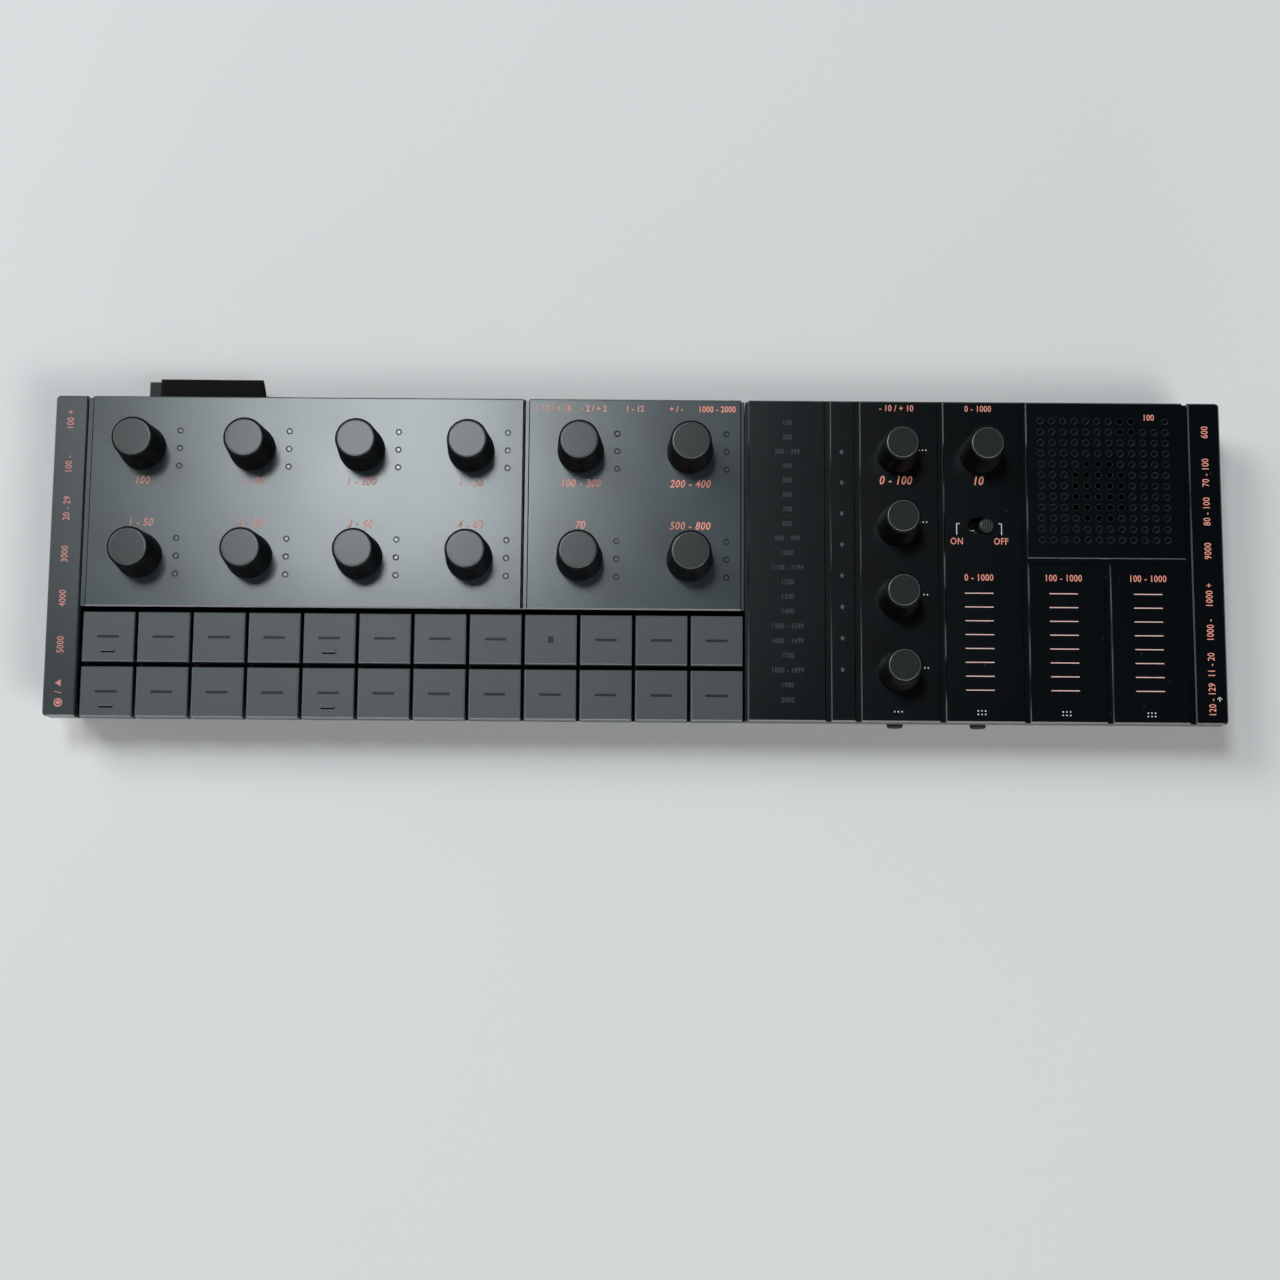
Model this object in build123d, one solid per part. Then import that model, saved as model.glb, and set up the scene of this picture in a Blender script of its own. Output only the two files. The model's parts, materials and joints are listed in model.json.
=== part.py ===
from build123d import *
import os

# Drum machine: a long, flat case with twenty-four keys, seventeen turning knobs,
# a slide switch, push buttons round the edge, a loudspeaker grille and touch strips.
# Millimetres. X runs from left to right, Y from the player to the rear, Z up.
# The origin is on the table, under the middle of the whole, buttons and tag included.

# ---- Case ----
case_width = 341.0
case_depth = 94.6
case_height = 22.5          # underside of the lower case to the top faces
foot_height = 1.0           # how far the feet lift the case off the table
rim_height = 6.0            # upright edge of the covers; below it the walls lean inwards
wall_lean = 1.8             # how far in the walls stand at the seam
seam_height = 7.5           # top of the lower case above its own underside
floor_wall = 2.0
side_wall = 2.0
top_wall = 2.3
skirt_depth = 3.2           # short inner edges of the covers
seat_clearance = 0.3        # above the flat seats that the button strips lie against
undercut = 1.7              # how much further in the underside of the lower case stands
undercut_height = 6.5
corner_radius = 1.2
edge_chamfer = 0.4
lip_height = 1.0            # locating lip that stands inside the covers
lip_wall = 0.9
lip_clearance = 0.15
cover_split = 0.25          # fine joint between neighbouring covers, in the floor of a groove

# ---- Covers and fields ----
end_width = 9.3             # the narrow strip at each end
grid_pitches = 20           # key pitches between the ends; the first twelve carry keys
key_columns = 12
key_gap = 1.1
key_row_gap = 1.5
key_depth = 14.5
key_rows = 2
panel_gap = 1.6             # black gap between the rear keys and the track panel
drum_columns = 8            # key columns in front of the drum field
groove_width = 1.5
cover_groove_width = 2.0    # between the track panel and the control cover
groove_depth = 0.5
groove_chamfer = 0.3
display_share = 1.45        # first field of the control cover, in key pitches
light_strip_share = 0.54    # second field
control_share = 1.52        # sound and effect fields; the two touch fields share the rest
column_shift = -0.5         # knobs and sliders stand this far off their field's middle
touch_share = 0.5           # of the case depth, in front of the grille

# ---- Keys ----
key_height = 6.0
key_below_deck = 0.4
key_travel = 1.0
key_wall = 1.3
key_edge = 0.35
key_stem = 6.0
key_stem_clearance = 0.25
light_slit = (6.3, 0.75, 0.3)
square_window = (1.6, 1.9, 0.3)     # in place of the slit
square_key = (1, 8)         # row and column of the key that has it
locator_mark = (4.0, 0.9)   # low ridge that fingers find
locator_front = 3.75        # its middle in front of the key's middle
locator_height = 0.4
locator_edge = 0.12
locator_columns = (0, 4)
plate_wall = 1.5            # plate of the key frame
plate_clearance = 0.6       # under a pressed key
dome_size = 5.0
dome_height = 1.0
dome_clearance = 0.3

# ---- Knobs ----
knob_height = 14.5          # top of the knob above the deck
knob_lift = 0.7             # gap between a knob and the deck
knob_edge = 0.45
knob_stem_radius = 3.0
knob_stem_clearance = 0.3
track_knob_columns = 6
track_knob_rear = 15.6      # rear row of axes from the rear face
track_knob_front = 14.9     # front row of axes from the front of the panel
track_knob_base_radius = 6.75
track_knob_top_radius = 5.9
knob_light_radius = 0.92
knob_light_offset = 10.7    # lights beside a knob, from its axis
knob_light_pitch = 5.27
light_recess = 0.4
strip_light_radius = 0.75
strip_light_count = 8
strip_light_rear = 15.3
strip_light_pitch = 9.18
sound_knob_count = 4
sound_knob_rear = 15.7
sound_knob_front = 14.7
sound_knob_base_radius = 5.95
sound_knob_top_radius = 5.1
encoder_size = 12.0
encoder_height = 6.5
encoder_clearance = 0.3

# ---- Slide switch ----
switch_travel = 3.0
switch_radius = 2.1
switch_slot_clearance = 0.25
switch_proud = 1.1
switch_from_rear = 37.0
switch_plate = (9.0, 6.0, 1.0)
switch_plate_clearance = 0.25
switch_body = (12.0, 6.0)

# ---- Buttons ----
button_axis_height = 10.5   # above the underside of the case
button_proud = 1.0
button_length = 6.0
button_height = 3.0
button_clearance = 0.25
web_wall = 1.0
web_above_axis = 2.4        # top of the web above the button axis
web_end = 3.3               # length of web past the middles of the outer buttons
left_button_count = 7
left_button_front = 7.4     # first button from the front face
left_button_rear = 8.0
right_button_count = 4
right_button_pitch = 10.0
right_button_front = 7.4
rear_button_count = 5
rear_button_pitch = 12.0
rear_button_from_key_bay_end = 56.1     # first rear button
front_button_radius = 2.35
front_button_proud = 0.5    # beyond the rim; the leaning wall leaves more of it free
rear_button_proud = 0.5
front_button_travel = 0.5
front_button_flange = 0.5
tact_width = 4.5
tact_height = 3.6
tact_depth = 3.0
tact_clearance = 0.3

# ---- Sockets ----
socket_front = 50.1         # first jack from the front face
usb_rear = 9.4              # charging socket from the rear face
jack_count = 3
jack_bore_radius = 1.8
jack_bore_length = 13.0
jack_nose_radius = 2.6
jack_nose_clearance = 0.25
jack_body = (12.0, 6.4, 6.0)
jack_recess = 0.6           # nose behind the wall at the button axis
usb_shell = (8.9, 3.2)
usb_wall = 0.35
usb_length = 7.5
usb_clearance = 0.25

# ---- Grille ----
grille_columns = 12
grille_rows = 12
grille_left = 5.1           # first column from the middle of the groove on its left
grille_right = 5.9
grille_rear = 5.6           # first row from the rear face
grille_front = 6.3
cone_column = 5             # the loudspeaker's middle column, counted from 0
cone_rows = (4, 10)         # first open row over the cone, and the one after the last
microphone_column = 7
dimple_radius = 0.9
dimple_depth = 0.4

# ---- Inside ----
board_lift = 7.0            # board above the floor of the lower case
board_wall = 1.6
board_screw_hole = 1.6
boss_radius = 3.2
upper_boss_radius = 2.5
screw_radius = 1.25
screw_length = 10.8
screw_head_radius = 2.3
screw_head_height = 1.5
screw_head_depth = 3.0      # seat of the head above the underside of the case
screw_clearance = 0.2
control_screw_inset = 11.5  # screws of the control cover from the front and the rear edge
control_screw_left = 6.0    # the outer ones from the ends of the cover
control_screw_right = 7.0
battery_size = (62.0, 46.0, 6.0)
battery_clearance = 0.4
battery_rib = (1.2, 4.0)
speaker_size = 28.0
speaker_flange = 1.6
speaker_magnet_radius = 9.0
speaker_magnet_height = 5.0
speaker_cone = (12.0, 3.5, 3.4)     # outer radius, radius of the dust cap, depth
dust_cap_height = 0.9
microphone_radius = 3.4
microphone_height = 2.7

# ---- Feet and tag ----
foot_size = (30.0, 6.0)
foot_inset = (32.5, 4.8)    # middle of a foot from the edges of the flat underside
foot_recess = 0.8
tag_width = 35.3
tag_length = 8.8            # beyond the rear face
tag_inside = 5.2
tag_thickness = 1.3
tag_clearance = 0.3
tag_from_left = 41.6

# ---- Levels and edges that follow from them ----
left = -case_width / 2
right = case_width / 2
middle_y = (front_button_proud - tag_length) / 2
front = middle_y - case_depth / 2
rear = middle_y + case_depth / 2
underside = foot_height
floor_top = underside + floor_wall
seam = underside + seam_height
deck = underside + case_height
rim_bottom = deck - rim_height
wall_inside = wall_lean + side_wall
board_bottom = floor_top + board_lift
board_top = board_bottom + board_wall
button_axis = underside + button_axis_height
axis_lean = wall_lean * (rim_bottom - button_axis) / (rim_bottom - seam)
lip_top = seam + lip_height
web_bottom = lip_top + lip_clearance
web_top = button_axis + web_above_axis

key_pitch = (case_width - 2 * end_width - groove_width - cover_groove_width / 2) / grid_pitches
key_bay_left = left + end_width + groove_width / 2
key_bay_right = key_bay_left + key_columns * key_pitch
key_row_pitch = key_depth + key_row_gap
panel_front = front + key_rows * key_depth + (key_rows - 1) * key_row_gap + panel_gap
panel_left = left + end_width + cover_split
panel_right = key_bay_right - cover_split / 2
drum_groove = key_bay_left + drum_columns * key_pitch
control_left = key_bay_right + cover_split / 2
control_right = right - end_width - cover_split
field_pitch = control_share * key_pitch
light_groove = key_bay_right + cover_groove_width / 2 + display_share * key_pitch
sound_groove = light_groove + light_strip_share * key_pitch
effect_groove = sound_groove + field_pitch
speaker_groove = effect_groove + field_pitch
end_groove = right - end_width - groove_width / 2
touch_groove = (speaker_groove + end_groove) / 2
speaker_front = front + touch_share * case_depth

key_top = deck - key_below_deck
key_bottom = key_top - key_height
plate_top = key_bottom - key_travel - plate_clearance
plate_bottom = plate_top - plate_wall
dome_top = board_top + dome_height

knob_top = deck + knob_height
encoder_top = board_top + encoder_height
knob_stem_bottom = encoder_top + encoder_clearance
track_knob_x = [key_bay_left + key_pitch * (2 * i + 1) for i in range(track_knob_columns)]
track_knob_y = [rear - track_knob_rear, panel_front + track_knob_front]
sound_x = sound_groove + field_pitch / 2 + column_shift
effect_x = sound_x + field_pitch
sound_knob_pitch = (case_depth - sound_knob_rear - sound_knob_front) / (sound_knob_count - 1)
sound_knob_y = [rear - sound_knob_rear - sound_knob_pitch * i for i in range(sound_knob_count)]
effect_knob_y = sound_knob_y[0]
switch_y = rear - switch_from_rear
switch_middle = effect_x
switch_rest = switch_middle + switch_travel / 2

left_button_pitch = (case_depth - left_button_front - left_button_rear) / (left_button_count - 1)
left_button_y = [front + left_button_front + left_button_pitch * i for i in range(left_button_count)]
right_button_y = [front + right_button_front + right_button_pitch * i for i in range(right_button_count)]
rear_button_x = [key_bay_right - rear_button_from_key_bay_end + rear_button_pitch * i
                 for i in range(rear_button_count)] + [sound_x, effect_x]
front_button_x = [sound_x, effect_x]
usb_y = rear - usb_rear
socket_pitch = (usb_y - front - socket_front) / jack_count
jack_y = [front + socket_front + socket_pitch * i for i in range(jack_count)]

lip_inset = wall_inside + lip_clearance + lip_wall
edge_stack = wall_inside + web_wall + tact_clearance + tact_depth
board_right = right - edge_stack
board_left = left + edge_stack
board_front = front + edge_stack
board_rear = rear - edge_stack
socket_end = right - wall_inside - web_wall
socket_face = right - axis_lean - jack_recess
base_inset = wall_lean + undercut

screw_columns = [key_bay_left + key_pitch * i for i in (2, 6, 10)]
frame_screws = [(x, front + key_depth + key_row_gap / 2) for x in screw_columns]
panel_screws = [(x, rear - track_knob_rear) for x in screw_columns]
control_front = front + control_screw_inset
control_rear = rear - control_screw_inset
control_screws = [(control_left + control_screw_left, control_rear),
                  (control_left + control_screw_left, control_front),
                  (speaker_groove, control_rear), (speaker_groove, control_front),
                  (control_right - control_screw_right, control_front)]
all_screws = frame_screws + panel_screws + control_screws
battery_x = sound_groove - 1.0
grille_pitch_x = (end_groove - speaker_groove - grille_left - grille_right) / (grille_columns - 1)
grille_pitch_y = (rear - speaker_front - grille_rear - grille_front) / (grille_rows - 1)
speaker_x = speaker_groove + grille_left + grille_pitch_x * cone_column
speaker_y = rear - grille_rear - grille_pitch_y * (cone_rows[0] + cone_rows[1] - 1) / 2
tag_x = left + tag_from_left


def block(x0, x1, y0, y1, z0, z1):
    """Box between two corners."""
    middle = Pos((x0 + x1) / 2, (y0 + y1) / 2, (z0 + z1) / 2)
    return middle * Box(x1 - x0, y1 - y0, z1 - z0)


def post(x, y, z0, z1, radius):
    """Upright cylinder."""
    return Pos(x, y, (z0 + z1) / 2) * Cylinder(radius, z1 - z0)


def capsule(length, height, depth, place):
    """Rounded bar whose section is a slot, pushed out along the place's own Z."""
    return place * extrude(SlotOverall(length, height), depth)


def facing_x(x, y, z):
    """Place whose Z looks along +X and whose X runs along Y."""
    return Location(Plane(origin=(x, y, z), x_dir=(0, 1, 0), z_dir=(1, 0, 0)))


def facing_y(x, y, z):
    """Place whose Z looks along +Y and whose X runs along -X."""
    return Location(Plane(origin=(x, y, z), x_dir=(-1, 0, 0), z_dir=(0, 1, 0)))


def save(name, *solids):
    shape = solids[0] if len(solids) == 1 else Compound(children=list(solids))
    export_step(shape, f"parts/{name}.step")


# ---- Covers ----

def leaning_form(inset=0.0):
    """Outer form of the covers, or one that much smaller: upright at the rim, leaning in to the seam."""
    radius = max(corner_radius - inset, 0.3)
    wide = RectangleRounded(case_width - 2 * inset, case_depth - 2 * inset, radius)
    narrow = RectangleRounded(case_width - 2 * (inset + wall_lean),
                              case_depth - 2 * (inset + wall_lean), radius)
    lean = loft([Pos(0, middle_y, seam) * narrow, Pos(0, middle_y, rim_bottom) * wide])
    return lean + Pos(0, middle_y, rim_bottom) * extrude(wide, rim_height)


def cover(x0, x1, y0, y1, left_end, right_end, front_end, rear_end):
    """Moulded cover: a top, with a wall on each side that ends at the given height.

    A wall that reaches the seam is an outer one. It has a flat seat inside for the
    buttons, and above the seat it is as thick as the other walls.
    """
    shell = block(x0, x1, y0, y1, seam, deck) & leaning_form()
    shell = chamfer(shell.faces().sort_by(Axis.Z)[-1].edges(), edge_chamfer)
    seats = [wall_inside if end == seam else side_wall
             for end in (left_end, right_end, front_end, rear_end)]
    shell -= block(x0 + seats[0], x1 - seats[1], y0 + seats[2], y1 - seats[3], seam, deck - top_wall)
    shell -= block(x0 + side_wall, x1 - side_wall, y0 + side_wall, y1 - side_wall,
                   web_top + seat_clearance, deck - top_wall) & leaning_form(side_wall)
    if left_end > seam:
        shell -= block(x0, x0 + side_wall, y0 + seats[2], y1 - seats[3], seam, left_end)
    if right_end > seam:
        shell -= block(x1 - side_wall, x1, y0 + seats[2], y1 - seats[3], seam, right_end)
    if front_end > seam:
        shell -= block(x0, x1, y0, y0 + side_wall, seam, front_end)
    if rear_end > seam:
        shell -= block(x0, x1, y1 - side_wall, y1, seam, rear_end)
    return shell


def groove_profile(width=groove_width):
    """Section of a groove: a flat floor and chamfered shoulders, open upwards."""
    half = width / 2
    wide = half + groove_chamfer
    return Polygon((-half, -groove_depth), (half, -groove_depth), (half, -groove_chamfer),
                   (wide, 0), (-wide, 0), (-half, -groove_chamfer), align=None)


def groove_along_y(x, y0, y1, width=groove_width):
    start = Location(Plane(origin=(x, y0, deck), x_dir=(-1, 0, 0), z_dir=(0, 1, 0)))
    return start * extrude(groove_profile(width), y1 - y0)


def groove_along_x(y, x0, x1):
    start = Location(Plane(origin=(x0, y, deck), x_dir=(0, 1, 0), z_dir=(1, 0, 0)))
    return start * extrude(groove_profile(), x1 - x0)


def groove_down_rear(x, width=groove_width):
    start = Location(Plane(origin=(x, rear, seam), x_dir=(1, 0, 0), z_dir=(0, 0, 1)))
    return start * extrude(groove_profile(width), deck - seam)


def with_bosses(shell, places, roof):
    """Shell with screw bosses that reach down to the board, each with its pilot hole."""
    pilot_top = underside + screw_head_depth + screw_length + screw_clearance
    for x, y in places:
        shell += post(x, y, board_top, roof, upper_boss_radius)
    for x, y in places:
        shell -= post(x, y, board_top, pilot_top, screw_radius + screw_clearance / 4)
    return shell


def knob_hole(x, y):
    return post(x, y, deck - top_wall, deck, knob_stem_radius + knob_stem_clearance)


def light_recesses(places, radius):
    """Shallow seats of the small lights that shine through a cover."""
    return [post(x, y, deck - light_recess, deck, radius) for x, y in places]


def side_button_hole(place):
    """Hole for a capsule button through a side wall."""
    return capsule(button_length + 2 * button_clearance, button_height + 2 * button_clearance,
                   wall_inside, place)


def track_panel():
    skirt_end = deck - skirt_depth
    panel = cover(panel_left, panel_right, panel_front, rear, skirt_end, skirt_end, plate_top, seam)
    for x, width in ((key_bay_left, groove_width), (drum_groove, groove_width),
                     (key_bay_right, cover_groove_width)):
        panel -= groove_along_y(x, panel_front, rear, width)
        panel -= groove_down_rear(x, width)
    for x in track_knob_x:
        for y in track_knob_y:
            panel -= knob_hole(x, y)
            lights = [(x + knob_light_offset, y + knob_light_pitch * i) for i in (-1, 0, 1)]
            panel -= light_recesses(lights, knob_light_radius)
    for x in rear_button_x[:rear_button_count]:
        panel -= side_button_hole(facing_y(x, rear - wall_inside, button_axis))
    panel -= block(tag_x - tag_width / 2 - tag_clearance, tag_x + tag_width / 2 + tag_clearance,
                   rear - wall_inside, rear, seam, seam + tag_thickness + 2 * tag_clearance)
    return with_bosses(panel, panel_screws, deck - top_wall)


def grille_holes():
    """Dimples over the whole field; those over the cone and the microphone go right through."""
    across = (cone_column - 2, cone_column + 3)
    open_cone = {(row, column) for row in range(*cone_rows) for column in range(*across)
                 if row in range(cone_rows[0] + 1, cone_rows[1] - 1)
                 or column in range(across[0] + 1, across[1] - 1)}
    open_microphone = {(row, column) for row in (0, 1)
                       for column in (microphone_column, microphone_column + 1)}
    label_places = {(0, microphone_column + 2), (0, microphone_column + 3)}
    dimple = Cone(dimple_radius / 2, dimple_radius, dimple_depth)
    cuts = []
    for row in range(grille_rows):
        for column in range(grille_columns):
            x = speaker_groove + grille_left + grille_pitch_x * column
            y = rear - grille_rear - grille_pitch_y * row
            if (row, column) in open_cone | open_microphone:
                cuts.append(post(x, y, deck - top_wall, deck, dimple_radius))
            elif (row, column) not in label_places:
                cuts.append(Pos(x, y, deck - dimple_depth / 2) * dimple)
    return cuts


def control_cover():
    skirt_end = deck - skirt_depth
    body = cover(control_left, control_right, front, rear, skirt_end, skirt_end, seam, seam)
    for x in (light_groove, sound_groove, effect_groove, speaker_groove):
        body -= groove_along_y(x, front, rear)
    body -= groove_along_y(touch_groove, front, speaker_front)
    for x, width in ((key_bay_right, cover_groove_width), (end_groove, groove_width)):
        body -= groove_along_y(x, front, rear, width)
        body -= groove_down_rear(x, width)
    body -= groove_along_x(speaker_front, speaker_groove, control_right)
    strip_lights = [((light_groove + sound_groove) / 2, rear - strip_light_rear - strip_light_pitch * i)
                    for i in range(strip_light_count)]
    body -= light_recesses(strip_lights, strip_light_radius)
    for y in sound_knob_y:
        body -= knob_hole(sound_x, y)
    body -= knob_hole(effect_x, effect_knob_y)
    slot_length = switch_travel + 2 * (switch_radius + switch_slot_clearance)
    slot_width = 2 * (switch_radius + switch_slot_clearance)
    body -= capsule(slot_length, slot_width, top_wall, Pos(switch_middle, switch_y, deck - top_wall))
    for x in rear_button_x[rear_button_count:]:
        body -= side_button_hole(facing_y(x, rear - wall_inside, button_axis))
    for x in front_button_x:
        hole = Cylinder(front_button_radius + button_clearance, wall_inside,
                        align=(Align.CENTER, Align.CENTER, Align.MIN))
        body -= facing_y(x, front, button_axis) * hole
    body -= grille_holes()
    return with_bosses(body, control_screws, deck - top_wall)


def left_end_panel():
    skirt_end = deck - skirt_depth
    inner = left + end_width
    panel = cover(left, inner, front, rear, seam, skirt_end, seam, seam)
    for y in left_button_y:
        panel -= side_button_hole(facing_x(left, y, button_axis))
    return panel


def right_end_panel():
    skirt_end = deck - skirt_depth
    inner = right - end_width
    panel = cover(inner, right, front, rear, skirt_end, seam, seam, seam)
    for y in right_button_y:
        panel -= side_button_hole(facing_x(right - wall_inside, y, button_axis))
    for y in jack_y:
        hole = Cylinder(jack_nose_radius + jack_nose_clearance, wall_inside,
                        align=(Align.CENTER, Align.CENTER, Align.MIN))
        panel -= facing_x(right - wall_inside, y, button_axis) * hole
    panel -= capsule(usb_shell[0] + 2 * usb_clearance, usb_shell[1] + 2 * usb_clearance, wall_inside,
                     facing_x(right - wall_inside, usb_y, button_axis))
    return panel


# ---- Lower case ----

def tapered_tub(inset, bottom, waist, top):
    """Solid of the case's outline at the seam: it widens up to its waist, then rises straight."""
    radius = max(corner_radius - inset, 0.3)
    wide = RectangleRounded(case_width - 2 * (wall_lean + inset),
                            case_depth - 2 * (wall_lean + inset), radius)
    narrow = RectangleRounded(case_width - 2 * (base_inset + inset),
                              case_depth - 2 * (base_inset + inset), radius)
    lower = loft([Pos(0, middle_y, bottom) * narrow, Pos(0, middle_y, waist) * wide])
    return lower + Pos(0, middle_y, waist) * extrude(wide, top - waist)


def rim_ring(inset):
    """Flat ring that runs round inside the walls."""
    ring = Rectangle(case_width - 2 * inset, case_depth - 2 * inset)
    return ring - Rectangle(case_width - 2 * lip_inset, case_depth - 2 * lip_inset)


def lip_gaps():
    """Where the lip stops for the tag, the sockets and the front buttons."""
    half_tag = tag_width / 2 + tag_clearance
    half_button = front_button_radius + front_button_flange + button_clearance
    half_socket = jack_body[1] / 2 + jack_nose_clearance
    gaps = [block(tag_x - half_tag, tag_x + half_tag, rear - lip_inset, rear, seam, lip_top),
            block(right - lip_inset, right, jack_y[0] - half_socket, usb_y + half_socket + usb_shell[1] / 2,
                  seam, lip_top)]
    for x in front_button_x:
        gaps.append(block(x - half_button, x + half_button, front, front + lip_inset, seam, lip_top))
    return gaps


def lower_case():
    waist = underside + undercut_height
    case = tapered_tub(0, underside, waist, seam)
    case -= tapered_tub(side_wall, floor_top, waist, seam)
    case += Pos(0, middle_y, seam - lip_height) * extrude(rim_ring(wall_inside), lip_height)
    lip = Pos(0, middle_y, seam) * extrude(rim_ring(wall_inside + lip_clearance), lip_height)
    case += lip - lip_gaps()
    bay = Rectangle(battery_size[0] + 2 * battery_clearance + 2 * battery_rib[0],
                    battery_size[1] + 2 * battery_clearance + 2 * battery_rib[0])
    bay -= Rectangle(battery_size[0] + 2 * battery_clearance, battery_size[1] + 2 * battery_clearance)
    case += Pos(battery_x, middle_y, floor_top) * extrude(bay, battery_rib[1])
    for x, y in all_screws:
        case += post(x, y, underside, board_bottom, boss_radius)
    for x, y in all_screws:
        case -= post(x, y, underside, underside + screw_head_depth, screw_head_radius + screw_clearance)
        case -= post(x, y, underside + screw_head_depth, board_bottom, screw_radius + screw_clearance)
    for x, y in foot_places():
        case -= capsule(foot_size[0], foot_size[1], foot_recess, Pos(x, y, underside))
    return case


def foot_places():
    x = case_width / 2 - base_inset - foot_inset[0]
    y = case_depth / 2 - base_inset - foot_inset[1]
    return [(side_x * x, middle_y + side_y * y) for side_x in (-1, 1) for side_y in (-1, 1)]


def rubber_feet():
    return [capsule(foot_size[0], foot_size[1], foot_height + foot_recess, Pos(x, y, 0))
            for x, y in foot_places()]


def case_screws():
    seat = underside + screw_head_depth
    screws = []
    for x, y in all_screws:
        head = post(x, y, seat - screw_head_height, seat, screw_head_radius)
        screws.append(head + post(x, y, seat, seat + screw_length, screw_radius))
    return screws


# ---- Keys and their frame ----

def key_centres(row):
    """Middles of one row of keys; row 0 is the front row."""
    y = front + key_depth / 2 + key_row_pitch * row
    return [(key_bay_left + key_pitch * (i + 0.5), y) for i in range(key_columns)]


def locator(x, y):
    """Low ridge across the key, with slanted edges."""
    width, depth = locator_mark
    ridge = block(x - width / 2, x + width / 2, y - depth / 2, y + depth / 2,
                  key_top - locator_edge, key_top + locator_height)
    return chamfer(ridge.faces().sort_by(Axis.Z)[-1].edges(), locator_edge)


def key(x, y, marked, window):
    width = key_pitch - key_gap
    cap = block(x - width / 2, x + width / 2, y - key_depth / 2, y + key_depth / 2, key_bottom, key_top)
    cap = chamfer(cap.faces().sort_by(Axis.Z)[-1].edges(), key_edge)
    cap -= block(x - width / 2 + key_wall, x + width / 2 - key_wall,
                 y - key_depth / 2 + key_wall, y + key_depth / 2 - key_wall,
                 key_bottom, key_top - key_wall)
    cap -= block(x - window[0] / 2, x + window[0] / 2,
                 y - window[1] / 2, y + window[1] / 2, key_top - window[2], key_top)
    if marked:
        cap += locator(x, y - locator_front)
    stem_bottom = dome_top + key_travel + dome_clearance
    half = key_stem / 2
    return cap + block(x - half, x + half, y - half, y + half, stem_bottom, key_top - key_wall)


def key_frame():
    frame = block(key_bay_left, key_bay_right, front, panel_front + side_wall, plate_bottom, plate_top)
    frame += block(key_bay_left, key_bay_right, front, front + wall_inside, seam, plate_top)
    frame &= leaning_form()
    half = key_stem / 2 + key_stem_clearance
    for row in range(key_rows):
        for x, y in key_centres(row):
            frame -= block(x - half, x + half, y - half, y + half, plate_bottom, plate_top)
    return with_bosses(frame, frame_screws, plate_top)


# ---- Knobs and slide switch ----

def knob(x, y, base_radius, top_radius):
    """Cap and stem in one turn: the stem drops through the deck to its encoder."""
    profile = Polygon((0, knob_stem_bottom), (knob_stem_radius, knob_stem_bottom),
                      (knob_stem_radius, deck + knob_lift), (base_radius, deck + knob_lift),
                      (top_radius, knob_top - knob_edge), (top_radius - knob_edge, knob_top),
                      (0, knob_top), align=None)
    return Pos(x, y, 0) * revolve(Plane.XZ * profile, Axis.Z)


def slide_switch():
    length, width, thickness = switch_plate
    plate_z = deck - top_wall - switch_plate_clearance
    plate = block(switch_rest - length / 2, switch_rest + length / 2, switch_y - width / 2,
                  switch_y + width / 2, plate_z - thickness, plate_z)
    return plate + post(switch_rest, switch_y, plate_z, deck + switch_proud, switch_radius)


# ---- Buttons round the edge ----

def button_strip(places, depth):
    """Capsule buttons standing out of a shared web; each place looks outwards from the web."""
    return [capsule(button_length, button_height, depth, place) for place in places]


def left_buttons():
    web = left + wall_inside
    ends = (left_button_y[0] - web_end, left_button_y[-1] + web_end)
    strip = block(web, web + web_wall, ends[0], ends[1], web_bottom, web_top)
    reach = wall_inside + button_proud
    strip += button_strip([facing_x(left - button_proud, y, button_axis) for y in left_button_y], reach)
    return strip


def right_buttons():
    web = right - wall_inside
    ends = (right_button_y[0] - web_end, right_button_y[-1] + web_end)
    strip = block(web - web_wall, web, ends[0], ends[1], web_bottom, web_top)
    reach = wall_inside + button_proud
    strip += button_strip([facing_x(web, y, button_axis) for y in right_button_y], reach)
    return strip


def rear_buttons():
    web = rear - wall_inside
    ends = (rear_button_x[0] - web_end, rear_button_x[-1] + web_end)
    strip = block(ends[0], ends[1], web - web_wall, web, web_bottom, web_top)
    reach = wall_inside + rear_button_proud
    strip += button_strip([facing_y(x, web, button_axis) for x in rear_button_x], reach)
    return strip


def front_button(x):
    """Round plunger with a flange behind the wall."""
    lying = (Align.CENTER, Align.CENTER, Align.MIN)
    flange = Cylinder(front_button_radius + front_button_flange, web_wall, align=lying)
    plunger = Cylinder(front_button_radius, wall_inside + front_button_proud, align=lying)
    plunger = chamfer(plunger.faces().sort_by(Axis.Z)[0].edges(), edge_chamfer)
    return (facing_y(x, front + wall_inside, button_axis) * flange
            + facing_y(x, front - front_button_proud, button_axis) * plunger)


# ---- Board, sockets, battery, loudspeaker, tag ----

def jack(y):
    """Stereo jack socket: a block with a nose, bored along X."""
    length, width, height = jack_body
    nose_end = socket_face
    body_end = socket_end
    socket = block(body_end - length, body_end, y - width / 2, y + width / 2,
                   button_axis - height / 2, button_axis + height / 2)
    lying = (Align.CENTER, Align.CENTER, Align.MIN)
    nose = Cylinder(jack_nose_radius, nose_end - body_end, align=lying)
    socket += facing_x(body_end, y, button_axis) * nose
    socket -= facing_x(nose_end - jack_bore_length, y, button_axis) * Cylinder(
        jack_bore_radius, jack_bore_length, align=lying)
    return socket


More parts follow.
